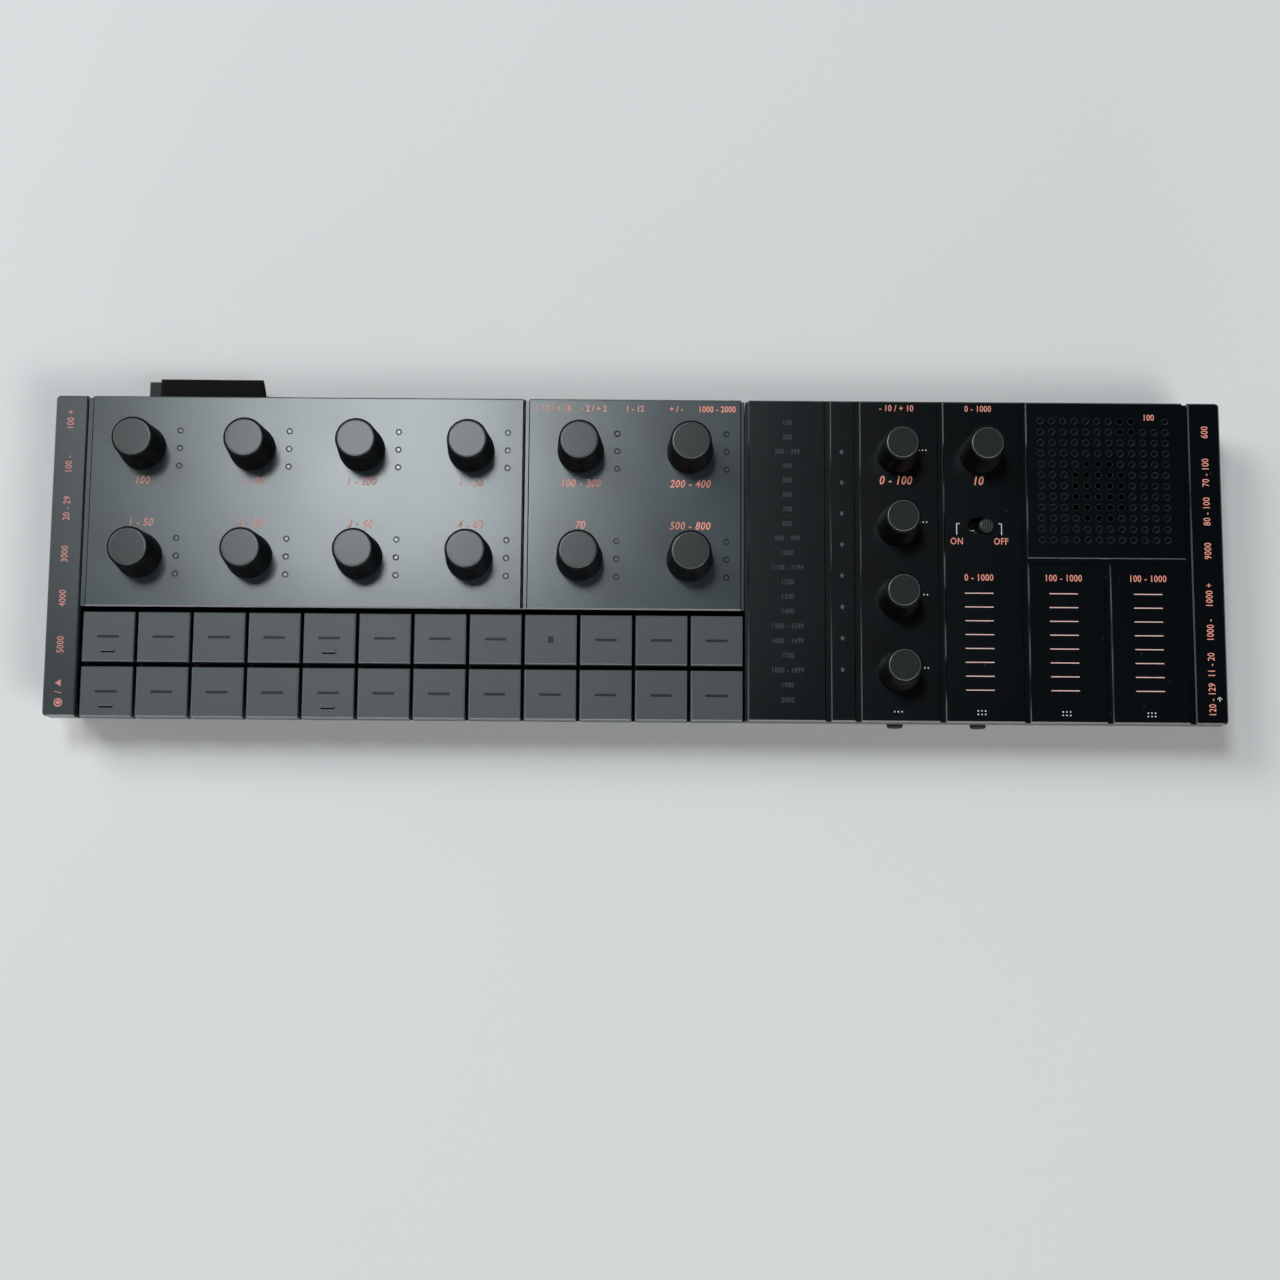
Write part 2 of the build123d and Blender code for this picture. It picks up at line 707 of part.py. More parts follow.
def usb_socket():
    """Oval metal shell with a tongue."""
    width, height = usb_shell
    start = facing_x(socket_face - usb_length, usb_y, button_axis)
    shell = start * extrude(SlotOverall(width, height), usb_length)
    shell -= (Pos(usb_wall, 0, 0) * start) * extrude(
        SlotOverall(width - 2 * usb_wall, height - 2 * usb_wall), usb_length)
    tongue = block(socket_face - usb_length + usb_wall, socket_face - 2 * usb_wall,
                   usb_y - width / 4, usb_y + width / 4, button_axis - usb_wall, button_axis + usb_wall)
    return shell + tongue


def socket_notches():
    """What the mid-mounted sockets take out of the board's edge."""
    length, width, height = jack_body
    cuts = [block(socket_end - length, right, y - width / 2, y + width / 2, board_bottom, board_top)
            for y in jack_y]
    usb_start = socket_face - usb_length
    cuts.append(block(usb_start, right, usb_y - usb_shell[0] / 2, usb_y + usb_shell[0] / 2,
                      board_bottom, board_top))
    return cuts


def tact(x0, x1, y0, y1):
    return block(x0, x1, y0, y1, button_axis - tact_height / 2, button_axis + tact_height / 2)


def main_board():
    """Board with what is soldered to it: encoders, key domes, slide switch and edge switches."""
    board = block(board_left, board_right, board_front, board_rear, board_bottom, board_top)
    board -= [post(x, y, board_bottom, board_top, board_screw_hole) for x, y in all_screws]
    board -= socket_notches()
    solids = [board]
    knobs = [(x, y) for x in track_knob_x for y in track_knob_y]
    knobs += [(sound_x, y) for y in sound_knob_y] + [(effect_x, effect_knob_y)]
    half = encoder_size / 2
    for x, y in knobs:
        solids.append(block(x - half, x + half, y - half, y + half, board_top, encoder_top))
    half = dome_size / 2
    for row in range(key_rows):
        for x, y in key_centres(row):
            solids.append(block(x - half, x + half, y - half, y + half, board_top, dome_top))
    length, width = switch_body
    switch_roof = deck - top_wall - 2 * switch_plate_clearance - switch_plate[2]
    solids.append(block(switch_middle - length / 2, switch_middle + length / 2, switch_y - width / 2,
                        switch_y + width / 2, board_top, switch_roof))
    half = tact_width / 2
    for y in left_button_y:
        solids.append(tact(board_left - tact_depth, board_left, y - half, y + half))
    for y in right_button_y:
        solids.append(tact(board_right, board_right + tact_depth, y - half, y + half))
    for x in rear_button_x:
        solids.append(tact(x - half, x + half, board_rear, board_rear + tact_depth))
    for x in front_button_x:
        reach = tact_depth - front_button_travel
        solids.append(tact(x - half, x + half, board_front - reach, board_front))
    return solids


def battery():
    length, width, height = battery_size
    pack = block(battery_x - length / 2, battery_x + length / 2, middle_y - width / 2,
                 middle_y + width / 2, floor_top, floor_top + height)
    return fillet(pack.edges().filter_by(Axis.X), height / 4)


def loudspeaker():
    """Square frame against the cover, with the magnet under it and a cone with a dust cap in it."""
    half = speaker_size / 2
    roof = deck - top_wall
    frame = block(speaker_x - half, speaker_x + half, speaker_y - half, speaker_y + half,
                  roof - speaker_flange, roof)
    bottom = roof - speaker_flange - speaker_magnet_height
    frame += post(speaker_x, speaker_y, bottom, roof - speaker_flange, speaker_magnet_radius)
    rim_radius, cap_radius, depth = speaker_cone
    frame -= Pos(speaker_x, speaker_y, roof - depth / 2) * Cone(cap_radius, rim_radius, depth)
    return frame + Pos(speaker_x, speaker_y, roof - depth + dust_cap_height / 2) * Cone(
        cap_radius, cap_radius / 2, dust_cap_height)


def microphone():
    """Capsule glued under its four holes."""
    x = speaker_groove + grille_left + grille_pitch_x * (microphone_column + 0.5)
    y = rear - grille_rear - grille_pitch_y / 2
    roof = deck - top_wall
    return post(x, y, roof - microphone_height, roof, microphone_radius)


def pull_tag():
    """Folded strip of cloth that lies in its slot over the seam."""
    middle = seam + tag_clearance + tag_thickness / 2
    tag = block(tag_x - tag_width / 2, tag_x + tag_width / 2, rear - tag_inside, rear + tag_length,
                middle - tag_thickness / 2, middle + tag_thickness / 2)
    return fillet(tag.faces().sort_by(Axis.Y)[-1].edges().filter_by(Axis.X), tag_thickness * 0.4)


os.makedirs("parts", exist_ok=True)
save("lower_case", lower_case())
save("track_panel", track_panel())
save("control_cover", control_cover())
save("left_end_panel", left_end_panel())
save("right_end_panel", right_end_panel())
save("key_frame", key_frame())
save("main_board", *main_board())
save("sockets", *[jack(y) for y in jack_y], usb_socket())
save("speaker", loudspeaker(), microphone())
save("battery", battery())
save("pull_tag", pull_tag())
save("rubber_feet", *rubber_feet())
save("case_screws", *case_screws())
save("left_buttons", left_buttons())
save("right_buttons", right_buttons())
save("rear_buttons", rear_buttons())
for row, name in enumerate(("front", "rear")):
    for number, (x, y) in enumerate(key_centres(row), start=1):
        window = square_window if (row, number - 1) == square_key else light_slit
        save(f"{name}_key_{number:02d}", key(x, y, number - 1 in locator_columns, window))
for row, name in enumerate(("rear", "front")):
    for number, x in enumerate(track_knob_x, start=1):
        turned = knob(x, track_knob_y[row], track_knob_base_radius, track_knob_top_radius)
        save(f"{name}_knob_{number}", turned)
for number, y in enumerate(sound_knob_y, start=1):
    save(f"sound_knob_{number}", knob(sound_x, y, sound_knob_base_radius, sound_knob_top_radius))
save("effect_knob", knob(effect_x, effect_knob_y, sound_knob_base_radius, sound_knob_top_radius))
save("effect_switch", slide_switch())
for number, x in enumerate(front_button_x, start=1):
    save(f"front_button_{number}", front_button(x))
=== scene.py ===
import json
import math

import bmesh
import bpy
from mathutils import Euler, Matrix, Vector


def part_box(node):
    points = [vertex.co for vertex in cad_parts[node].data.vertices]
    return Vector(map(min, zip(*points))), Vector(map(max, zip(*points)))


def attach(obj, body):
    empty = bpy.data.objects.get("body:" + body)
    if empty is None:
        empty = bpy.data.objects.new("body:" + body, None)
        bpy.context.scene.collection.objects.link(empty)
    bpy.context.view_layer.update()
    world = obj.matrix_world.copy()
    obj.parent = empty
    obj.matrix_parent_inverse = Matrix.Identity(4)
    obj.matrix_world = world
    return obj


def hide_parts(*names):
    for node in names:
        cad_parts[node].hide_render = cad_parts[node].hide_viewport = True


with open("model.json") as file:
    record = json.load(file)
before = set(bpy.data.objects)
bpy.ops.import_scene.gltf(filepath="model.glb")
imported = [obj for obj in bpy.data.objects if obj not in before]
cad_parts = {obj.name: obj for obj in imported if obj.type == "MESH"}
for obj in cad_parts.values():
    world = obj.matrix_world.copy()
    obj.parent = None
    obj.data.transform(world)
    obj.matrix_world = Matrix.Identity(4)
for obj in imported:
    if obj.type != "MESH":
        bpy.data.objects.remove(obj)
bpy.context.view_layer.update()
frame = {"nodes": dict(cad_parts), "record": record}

mm = 0.001
nodes = frame["nodes"]
up = Vector((0, 0, 1))

# Differences in metres below which two places count as the same
tolerance = {"height": 1e-7, "radius": 1e-6, "vertex": 1e-7, "thread": 1e-8, "row": 1e-9}

# Faces that meet at less than this many degrees are shaded as one surface
smoothBelow = {"moulded": 30, "cloth": 60}

# Knobs in each row of the track panel, and in the column of the control cover
knobCount = {"track": 6, "sound": 4}

# Edges and levels that the printing, lights and small parts are placed from
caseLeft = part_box("left_end_panel")[0].x
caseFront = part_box("control_cover")[0].y
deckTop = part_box("control_cover")[1].z


# x and y in millimetres from the left and the front edge of the case
def onDeck(x, y, lift=0.0):
    return Vector((caseLeft + x * mm, caseFront + y * mm, deckTop + lift * mm))


def centreOf(node):
    low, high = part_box(node)
    return (low + high) / 2


# Shared shader groups

def newGroup(name, inputs, outputs):
    group = bpy.data.node_groups.new(name, "ShaderNodeTree")
    for label, kind, value in inputs:
        socket = group.interface.new_socket(name=label, in_out="INPUT", socket_type=kind)
        socket.default_value = value
    for label, kind in outputs:
        group.interface.new_socket(name=label, in_out="OUTPUT", socket_type=kind)
    return group, group.nodes.new("NodeGroupInput"), group.nodes.new("NodeGroupOutput")


def mathNode(tree, operation, first, second):
    node = tree.nodes.new("ShaderNodeMath")
    node.operation = operation
    for socket, value in zip(node.inputs, (first, second)):
        if isinstance(value, (int, float)):
            socket.default_value = value
        else:
            tree.links.new(value, socket)
    return node.outputs[0]


def noiseNode(tree, vector, scale, detail):
    node = tree.nodes.new("ShaderNodeTexNoise")
    tree.links.new(vector, node.inputs["Vector"])
    if isinstance(scale, (int, float)):
        node.inputs["Scale"].default_value = scale
    else:
        tree.links.new(scale, node.inputs["Scale"])
    node.inputs["Detail"].default_value = detail
    return node.outputs["Fac"]


def mixColours(tree, factor, first, second):
    node = tree.nodes.new("ShaderNodeMix")
    node.data_type = "RGBA"
    tree.links.new(factor, node.inputs["Factor"])
    for socket, value in ((node.inputs["A"], first), (node.inputs["B"], second)):
        if isinstance(value, tuple):
            socket.default_value = value
        else:
            tree.links.new(value, socket)
    return node.outputs["Result"]


grainPattern = {"patchScale": 18.0, "patchDetail": 3.0, "grainDetail": 1.0}


# Spark-eroded texture of moulded plastic: tiny pits, and broad patches a little more or less satin
def buildMouldedGrain():
    group, given, made = newGroup("mouldedGrain", [
        ("Colour", "NodeSocketColor", (0.1, 0.1, 0.1, 1)),
        ("Patch Colour", "NodeSocketColor", (0.12, 0.12, 0.12, 1)),
        ("Roughness", "NodeSocketFloat", 0.5),
        ("Roughness Spread", "NodeSocketFloat", 0.1),
        ("Grain Scale", "NodeSocketFloat", 2500.0)],
        [("Colour", "NodeSocketColor"), ("Roughness", "NodeSocketFloat"),
         ("Height", "NodeSocketFloat")])
    place = group.nodes.new("ShaderNodeTexCoord").outputs["Object"]
    patches = noiseNode(group, place, grainPattern["patchScale"], grainPattern["patchDetail"])
    grain = noiseNode(group, place, given.outputs["Grain Scale"], grainPattern["grainDetail"])
    colour = mixColours(group, patches, given.outputs["Colour"], given.outputs["Patch Colour"])
    centred = mathNode(group, "SUBTRACT", patches, 0.5)
    swing = mathNode(group, "MULTIPLY", centred, given.outputs["Roughness Spread"])
    roughness = mathNode(group, "ADD", given.outputs["Roughness"], swing)
    group.links.new(colour, made.inputs["Colour"])
    group.links.new(roughness, made.inputs["Roughness"])
    group.links.new(grain, made.inputs["Height"])
    return group


# A face is a top where its normal points up by more than this share
topFrom = 0.95


# Mask for painted edge shade and highlights: 1 on chamfers, 0 on tops and on walls whose normal
# has a Z below Steepest
def buildPaintedEdgeMask():
    group, given, made = newGroup("edgeMask", [("Steepest", "NodeSocketFloat", 0.3)],
                                  [("Mask", "NodeSocketFloat")])
    normal = group.nodes.new("ShaderNodeTexCoord").outputs["Normal"]
    split = group.nodes.new("ShaderNodeSeparateXYZ")
    group.links.new(normal, split.inputs[0])
    tilted = mathNode(group, "LESS_THAN", split.outputs["Z"], topFrom)
    upward = mathNode(group, "GREATER_THAN", split.outputs["Z"], given.outputs["Steepest"])
    group.links.new(mathNode(group, "MULTIPLY", tilted, upward), made.inputs["Mask"])
    return group


dustPattern = {"cells": 260.0, "speck": 0.055, "driftScale": 45.0, "driftDetail": 1.0,
               "driftFrom": 0.6}


# Sparse pale specks that settle on dark plastic
def buildDustSpecks():
    group, given, made = newGroup("dustSpecks", [
        ("Colour", "NodeSocketColor", (0.1, 0.1, 0.1, 1)),
        ("Dust", "NodeSocketColor", (0.35, 0.34, 0.32, 1)),
        ("Amount", "NodeSocketFloat", 0.1)],
        [("Colour", "NodeSocketColor")])
    place = group.nodes.new("ShaderNodeTexCoord").outputs["Object"]
    cells = group.nodes.new("ShaderNodeTexVoronoi")
    cells.inputs["Scale"].default_value = dustPattern["cells"]
    group.links.new(place, cells.inputs["Vector"])
    near = mathNode(group, "LESS_THAN", cells.outputs["Distance"], dustPattern["speck"])
    drift = noiseNode(group, place, dustPattern["driftScale"], dustPattern["driftDetail"])
    thin = mathNode(group, "GREATER_THAN", drift, dustPattern["driftFrom"])
    speck = mathNode(group, "MULTIPLY", near, thin)
    amount = mathNode(group, "MULTIPLY", speck, given.outputs["Amount"])
    group.links.new(mixColours(group, amount, given.outputs["Colour"], given.outputs["Dust"]),
                    made.inputs["Colour"])
    return group


# Plain weave of a narrow ribbon, read from the cloth's own UV map in millimetres
def buildWeave():
    group, given, made = newGroup("ribbonWeave", [
        ("Warp", "NodeSocketColor", (0.1, 0.1, 0.1, 1)),
        ("Weft", "NodeSocketColor", (0.05, 0.05, 0.05, 1)),
        ("Threads", "NodeSocketFloat", 3.2)],
        [("Colour", "NodeSocketColor"), ("Height", "NodeSocketFloat")])
    place = group.nodes.new("ShaderNodeUVMap").outputs["UV"]
    split = group.nodes.new("ShaderNodeSeparateXYZ")
    group.links.new(place, split.inputs[0])
    waves = []
    for axis in ("X", "Y"):
        turns = mathNode(group, "MULTIPLY", split.outputs[axis], given.outputs["Threads"])
        angle = mathNode(group, "MULTIPLY", turns, 2 * math.pi)
        waves.append(mathNode(group, "SINE", angle, 0.0))
    crossing = mathNode(group, "MULTIPLY", waves[0], waves[1])
    height = mathNode(group, "MULTIPLY", mathNode(group, "ADD", crossing, 1.0), 0.5)
    group.links.new(mixColours(group, height, given.outputs["Weft"], given.outputs["Warp"]),
                    made.inputs["Colour"])
    group.links.new(height, made.inputs["Height"])
    return group


mouldedGrain = buildMouldedGrain()
edgeMask = buildPaintedEdgeMask()
dustSpecks = buildDustSpecks()
ribbonWeave = buildWeave()


# Materials

def startMaterial(name):
    material = bpy.data.materials.new(name)
    material.use_nodes = True
    return material, material.node_tree, material.node_tree.nodes["Principled BSDF"]


def setInputs(node, values):
    for label, value in values.items():
        node.inputs[label].default_value = value


def placeGroup(tree, group, values):
    node = tree.nodes.new("ShaderNodeGroup")
    node.node_tree = group
    setInputs(node, values)
    return node


def placeGrain(tree, look):
    return placeGroup(tree, mouldedGrain, {
        "Colour": (*look["colour"], 1),
        "Patch Colour": (*[c * look["patch"] for c in look["colour"]], 1),
        "Roughness": look["roughness"],
        "Roughness Spread": look["spread"],
        "Grain Scale": look["grainScale"]})


def addBump(tree, shader, height, strength, distance):
    bump = tree.nodes.new("ShaderNodeBump")
    setInputs(bump, {"Strength": strength, "Distance": distance})
    tree.links.new(height, bump.inputs["Height"])
    tree.links.new(bump.outputs["Normal"], shader.inputs["Normal"])


grainDepth = 0.02 * mm


def mouldedPlastic(name, look):
    material, tree, shader = startMaterial(name)
    grain = placeGrain(tree, look)
    colour = grain.outputs["Colour"]
    # Painted edge light: chamfers, and walls where steepest is -1, take the edge colour
    if "edge" in look:
        mask = placeGroup(tree, edgeMask, {"Steepest": look["steepest"]})
        colour = mixColours(tree, mask.outputs["Mask"], colour, (*look["edge"], 1))
    if look["dust"] > 0:
        dust = placeGroup(tree, dustSpecks, {"Amount": look["dust"]})
        tree.links.new(colour, dust.inputs["Colour"])
        colour = dust.outputs["Colour"]
    tree.links.new(colour, shader.inputs["Base Color"])
    tree.links.new(grain.outputs["Roughness"], shader.inputs["Roughness"])
    setInputs(shader, {"Specular IOR Level": look["specular"]})
    addBump(tree, shader, grain.outputs["Height"], look["grainStrength"], grainDepth)
    return material


def metal(name, look):
    material, tree, shader = startMaterial(name)
    grain = placeGrain(tree, look)
    tree.links.new(grain.outputs["Colour"], shader.inputs["Base Color"])
    tree.links.new(grain.outputs["Roughness"], shader.inputs["Roughness"])
    setInputs(shader, {"Metallic": 1.0})
    return material


def ribbon(name, look):
    material, tree, shader = startMaterial(name)
    weave = placeGroup(tree, ribbonWeave, {
        "Warp": (*look["warp"], 1), "Weft": (*look["weft"], 1), "Threads": look["threads"]})
    tree.links.new(weave.outputs["Colour"], shader.inputs["Base Color"])
    setInputs(shader, {"Roughness": look["roughness"], "Specular IOR Level": look["specular"],
                       "Sheen Weight": look["sheen"]})
    addBump(tree, shader, weave.outputs["Height"], look["weaveStrength"], look["weaveDepth"])
    return material


# What the looks of one kind share; a look below can say otherwise
coverLook = dict(spread=0.05, grainScale=2600.0, grainStrength=0.35, specular=0.5, dust=0.12)
smallLook = dict(patch=1.1, spread=0.05, grainScale=1500.0, grainStrength=0.2, dust=0.0)
inkLook = dict(patch=1.1, roughness=0.5, spread=0.05, grainScale=2000.0, grainStrength=0.1,
               specular=0.3, dust=0.0)
metalLook = dict(patch=0.85, spread=0.15, grainScale=900.0)
clothLook = dict(roughness=0.8, specular=0.2, weaveStrength=0.6, weaveDepth=0.08 * mm)

# edge is the colour of the chamfers, and of the walls too where steepest is -1; it paints shade on
# the track panel and a highlight on the keys
plasticLooks = {
    # Track panel edge colour: painted shade, dark chamfers and walls
    "panelGrey": dict(coverLook, colour=(0.040, 0.054, 0.060), patch=1.12, roughness=0.215,
                      spread=0.085, edge=(0.006, 0.008, 0.009), steepest=-1),
    "endGrey": dict(coverLook, colour=(0.0240, 0.0310, 0.0350), patch=1.15, roughness=0.25,
                    dust=0.15),
    "coverBlack": dict(coverLook, colour=(0.0005, 0.0017, 0.0026), patch=1.25, roughness=0.225,
                       specular=0.42),
    # Key edge colour: painted highlight, pale chamfers round each key
    "keyGrey": dict(colour=(0.042, 0.054, 0.062), patch=1.08, roughness=0.41, spread=0.08,
                    grainScale=2200.0, grainStrength=0.5, specular=0.50, dust=0.12,
                    edge=(0.125, 0.145, 0.145), steepest=0.3),
    "caseBlack": dict(colour=(0.006, 0.0065, 0.0075), patch=1.2, roughness=0.6, spread=0.1,
                      grainScale=1500.0, grainStrength=0.7, specular=0.3, dust=0.1),
    "knobSide": dict(colour=(0.0014, 0.0018, 0.0022), patch=1.2, roughness=0.45, spread=0.08,
                     grainScale=2000.0, grainStrength=0.5, specular=0.11, dust=0.1),
    # Pale colour painted on glossy rounded edges and on the switch plate as a highlight
    "knobRim": dict(colour=(0.110, 0.118, 0.118), patch=1.1, roughness=0.20, spread=0.04,
                    grainScale=2400.0, grainStrength=0.2, specular=0.75, dust=0.0),
    "knobTop": dict(colour=(0.0185, 0.0225, 0.0230), patch=1.15, roughness=0.24, spread=0.06,
                    grainScale=2400.0, grainStrength=0.30, specular=0.32, dust=0.12),
    "switchGrey": dict(colour=(0.095, 0.100, 0.100), patch=0.5, roughness=0.7, spread=0.15,
                       grainScale=1300.0, grainStrength=0.9, specular=0.3, dust=0.0),
    "buttonRubber": dict(colour=(0.012, 0.013, 0.014), patch=1.2, roughness=0.7, spread=0.08,
                         grainScale=1200.0, grainStrength=0.5, specular=0.3, dust=0.1),
    "footRubber": dict(colour=(0.014, 0.014, 0.014), patch=1.2, roughness=0.85, spread=0.08,
                       grainScale=1200.0, grainStrength=0.6, specular=0.25, dust=0.2),
    "speakerBlack": dict(colour=(0.003, 0.003, 0.003), patch=1.3, roughness=0.9, spread=0.05,
                         grainScale=700.0, grainStrength=1.0, specular=0.1, dust=0.0),
    "boardGreen": dict(colour=(0.02, 0.09, 0.05), patch=0.8, roughness=0.4, spread=0.1,
                       grainScale=600.0, grainStrength=0.3, specular=0.5, dust=0.0),
    "batteryWrap": dict(colour=(0.08, 0.09, 0.10), patch=0.9, roughness=0.3, spread=0.1,
                        grainScale=300.0, grainStrength=0.4, specular=0.5, dust=0.0),
    "smokedWindow": dict(smallLook, colour=(0.015, 0.019, 0.021), patch=0.7, roughness=0.4,
                         specular=0.25),
    "lightPipe": dict(smallLook, colour=(0.080, 0.094, 0.094), roughness=0.55, specular=0.2),
    "lightLens": dict(smallLook, colour=(0.040, 0.054, 0.060), roughness=0.21, specular=0.62),
    # Painted shade: the dark disc under each knob light
    "lightRecessShade": dict(smallLook, colour=(0.014, 0.017, 0.018), roughness=0.6, specular=0.15),
    # Painted highlight on the rims of the grille holes
    "grilleGlint": dict(smallLook, colour=(0.017, 0.019, 0.020), roughness=0.35, specular=0.6),
    "socketBlack": dict(smallLook, colour=(0.006, 0.006, 0.007), patch=1.2, roughness=0.25,
                        specular=0.5, dust=0.1),
    "printOrange": dict(inkLook, colour=(0.88, 0.34, 0.26)),
    "printRose": dict(inkLook, colour=(0.64, 0.27, 0.23)),
    "printPink": dict(inkLook, colour=(0.86, 0.58, 0.53), patch=1.05),
    "printWhite": dict(inkLook, colour=(0.80, 0.76, 0.76), patch=1.05),
    "printFaint": dict(inkLook, colour=(0.040, 0.050, 0.054), patch=1.2),
}
metalLooks = {
    "contactMetal": dict(metalLook, colour=(0.60, 0.58, 0.54), roughness=0.3),
    "screwSteel": dict(metalLook, colour=(0.10, 0.10, 0.105), roughness=0.35),
}
clothLooks = {
    "tagBlack": dict(clothLook, warp=(0.0038, 0.0036, 0.0036), weft=(0.0016, 0.0015, 0.0015),
                     sheen=0.015, threads=3.0),
    "tagGrey": dict(clothLook, warp=(0.065, 0.078, 0.072), weft=(0.032, 0.040, 0.036),
                    sheen=0.15, threads=2.2),
}
finishes = {}
for looks, build in ((plasticLooks, mouldedPlastic), (metalLooks, metal), (clothLooks, ribbon)):
    for name, look in looks.items():
        finishes[name] = build(name, look)

nodeFinishes = {
    "track_panel": "panelGrey", "control_cover": "coverBlack", "left_end_panel": "endGrey",
    "right_end_panel": "coverBlack", "lower_case": "caseBlack", "key_frame": "caseBlack",
    "main_board": "boardGreen", "sockets": "socketBlack", "speaker": "speakerBlack",
    "battery": "batteryWrap", "rubber_feet": "footRubber", "case_screws": "screwSteel",
    "left_buttons": "buttonRubber", "right_buttons": "buttonRubber",
    "rear_buttons": "buttonRubber", "front_button_1": "buttonRubber",
    "front_button_2": "buttonRubber",
}
for name, node in nodes.items():
    finish = "keyGrey" if "_key_" in name else nodeFinishes.get(name)
    if finish:
        node.data.materials.clear()
        node.data.materials.append(finishes[finish])
print("materials done")


# Helpers for new pieces

# Turns a bmesh into a piece with its materials and body
def finishPiece(name, bm, finishNames, body, smoothAngle=None):
    mesh = bpy.data.meshes.new(name)
    bm.to_mesh(mesh)
    bm.free()
    for finishName in finishNames:
        mesh.materials.append(finishes[finishName])
    if smoothAngle:
        mesh.polygons.foreach_set("use_smooth", [True] * len(mesh.polygons))
        mesh.set_sharp_from_angle(angle=math.radians(smoothAngle))
    piece = bpy.data.objects.new(name, mesh)
    bpy.context.scene.collection.objects.link(piece)
    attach(piece, body)
    return piece


# Full turn of a chain of points about an axis through a centre
def spinChain(bm, points, centre, axis, steps, closed=False):
    chain = [bm.verts.new(point) for point in points]
    following = chain[1:] + chain[:1] if closed else chain[1:]
    edges = [bm.edges.new(pair) for pair in zip(chain, following)]
    bmesh.ops.spin(bm, geom=chain + edges, cent=centre, axis=axis, dvec=(0, 0, 0),
                   angle=2 * math.pi, steps=steps, use_merge=True)
    bmesh.ops.remove_doubles(bm, verts=bm.verts, dist=tolerance["vertex"])
    bmesh.ops.recalc_face_normals(bm, faces=bm.faces)


# Full turn of a profile of (radius, height) points, both in metres, about an upright axis
def spinProfile(bm, profile, centre, steps):
    points = [(centre.x + radius, centre.y, height) for radius, height in profile]
    spinChain(bm, points, (centre.x, centre.y, 0), up, steps)


def bevelEdges(bm, edges, width, segments):
    bmesh.ops.bevel(bm, geom=edges, offset=width, affect="EDGES", segments=segments,
                    profile=0.5, material=-1)


# Box of the given size, turned about the upright axis
def addBar(bm, centre, size, turn=0.0):
    place = (Matrix.Translation(centre) @ Matrix.Rotation(turn, 4, "Z")
             @ Matrix.Diagonal((*size, 1)))
    return bmesh.ops.create_cube(bm, size=1.0, matrix=place)["verts"]


# Upright disc, or a prism with few segments, that starts at the centre point
def addDisc(bm, centre, radius, height, segments=24, turn=0.0):
    place = Matrix.Translation(centre + up * height / 2) @ Matrix.Rotation(turn, 4, "Z")
    bmesh.ops.create_cone(bm, cap_ends=True, segments=segments, radius1=radius, radius2=radius,
                          depth=height, matrix=place)


# Gives the faces round some vertices the look with this place in the piece's list
def paintFaces(verts, place):
    for face in {face for vert in verts for face in vert.link_faces}:
        face.material_index = place


# Moves the shape of one mesh into a bmesh and removes the mesh
def joinMesh(bm, mesh):
    bm.from_mesh(mesh)
    bpy.data.meshes.remove(mesh)


# The same for another bmesh
def joinShape(bm, shape):
    mesh = bpy.data.meshes.new("shape")
    shape.to_mesh(mesh)
    shape.free()
    joinMesh(bm, mesh)


# Knobs

knobShape = {
    "steps": 96,
    "taper": 0.85 * mm,         # of the radius, from foot to top
    "edgeWidth": 0.36 * mm,     # rounded shoulder
    "edgeSegments": 4,
    "ringWidth": 0.62 * mm,     # black ring round the top, shoulder included
    "step": 0.22 * mm,          # top disc above the ring
    "discEdge": 0.20 * mm,      # its rounded, glossy edge, painted pale as a highlight
    "highlightReach": 1.1,            # reach of the painted highlight, as a share of that edge
    "lift": 0.7 * mm,           # foot of the cap above the deck
    "stemRadius": 3.0 * mm,
    "skirt": 0.35 * mm,         # chamfer at the foot
}
knobLook = ["knobSide", "knobTop", "knobRim"]
levelStep = 0.01 * mm           # a face counts as above a level from here on


def makeKnob(node):
    low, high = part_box(node)
    centre = (low + high) / 2
    baseRadius = (high.x - low.x) / 2
    topRadius = baseRadius - knobShape["taper"]
    base = deckTop + knobShape["lift"]
    ring = topRadius - knobShape["ringWidth"]
    ringTop = high.z - knobShape["step"]
    profile = [(0, low.z), (knobShape["stemRadius"], low.z), (knobShape["stemRadius"], base),
               (baseRadius - knobShape["skirt"], base), (baseRadius, base + knobShape["skirt"]),
               (topRadius, ringTop), (ring, ringTop), (ring, high.z),
               (ring - 2 * knobShape["discEdge"], high.z), (0, high.z)]
    bm = bmesh.new()
    spinProfile(bm, profile, centre, knobShape["steps"])
    for radius, height, width in ((topRadius, ringTop, knobShape["edgeWidth"]),
                                  (ring, high.z, knobShape["discEdge"])):
        edge = [e for e in bm.edges
                if all(abs(v.co.z - height) < tolerance["height"]
                       and abs((v.co.xy - centre.xy).length - radius) < tolerance["radius"]
                       for v in e.verts)]
        bevelEdges(bm, edge, width, knobShape["edgeSegments"])
    discRadius = ring - knobShape["highlightReach"] * knobShape["discEdge"]
    # Painted highlight: the faces on the top disc's rounded edge take the pale look
    for face in bm.faces:
        middle = face.calc_center_median()
        if middle.z > ringTop + levelStep:
            inside = (middle.xy - centre.xy).length < discRadius
            face.material_index = knobLook.index("knobTop" if inside else "knobRim")
    piece = finishPiece(node + "_cap", bm, knobLook, node + "_body",
                        smoothBelow["moulded"])
    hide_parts(node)


for node in sorted(nodes):
    if "knob" in node:
        makeKnob(node)
print("knobs done")


# Lights in round recesses of the deck. Places and depths in mm, radii and the height of the dark
# disc under each knob light in metres

knobLights = {"offset": 10.7, "pitch": 5.27, "radius": 0.56 * mm, "seat": 0.90 * mm,
              "seatHeight": 0.08 * mm}
stripLights = {"fromLeft": 230.1, "rear": 79.3, "pitch": 9.18, "count": 8, "radius": 0.70 * mm}
lightRecess = {"depth": 0.4, "below": 0.02}     # the lens ends this far below the deck


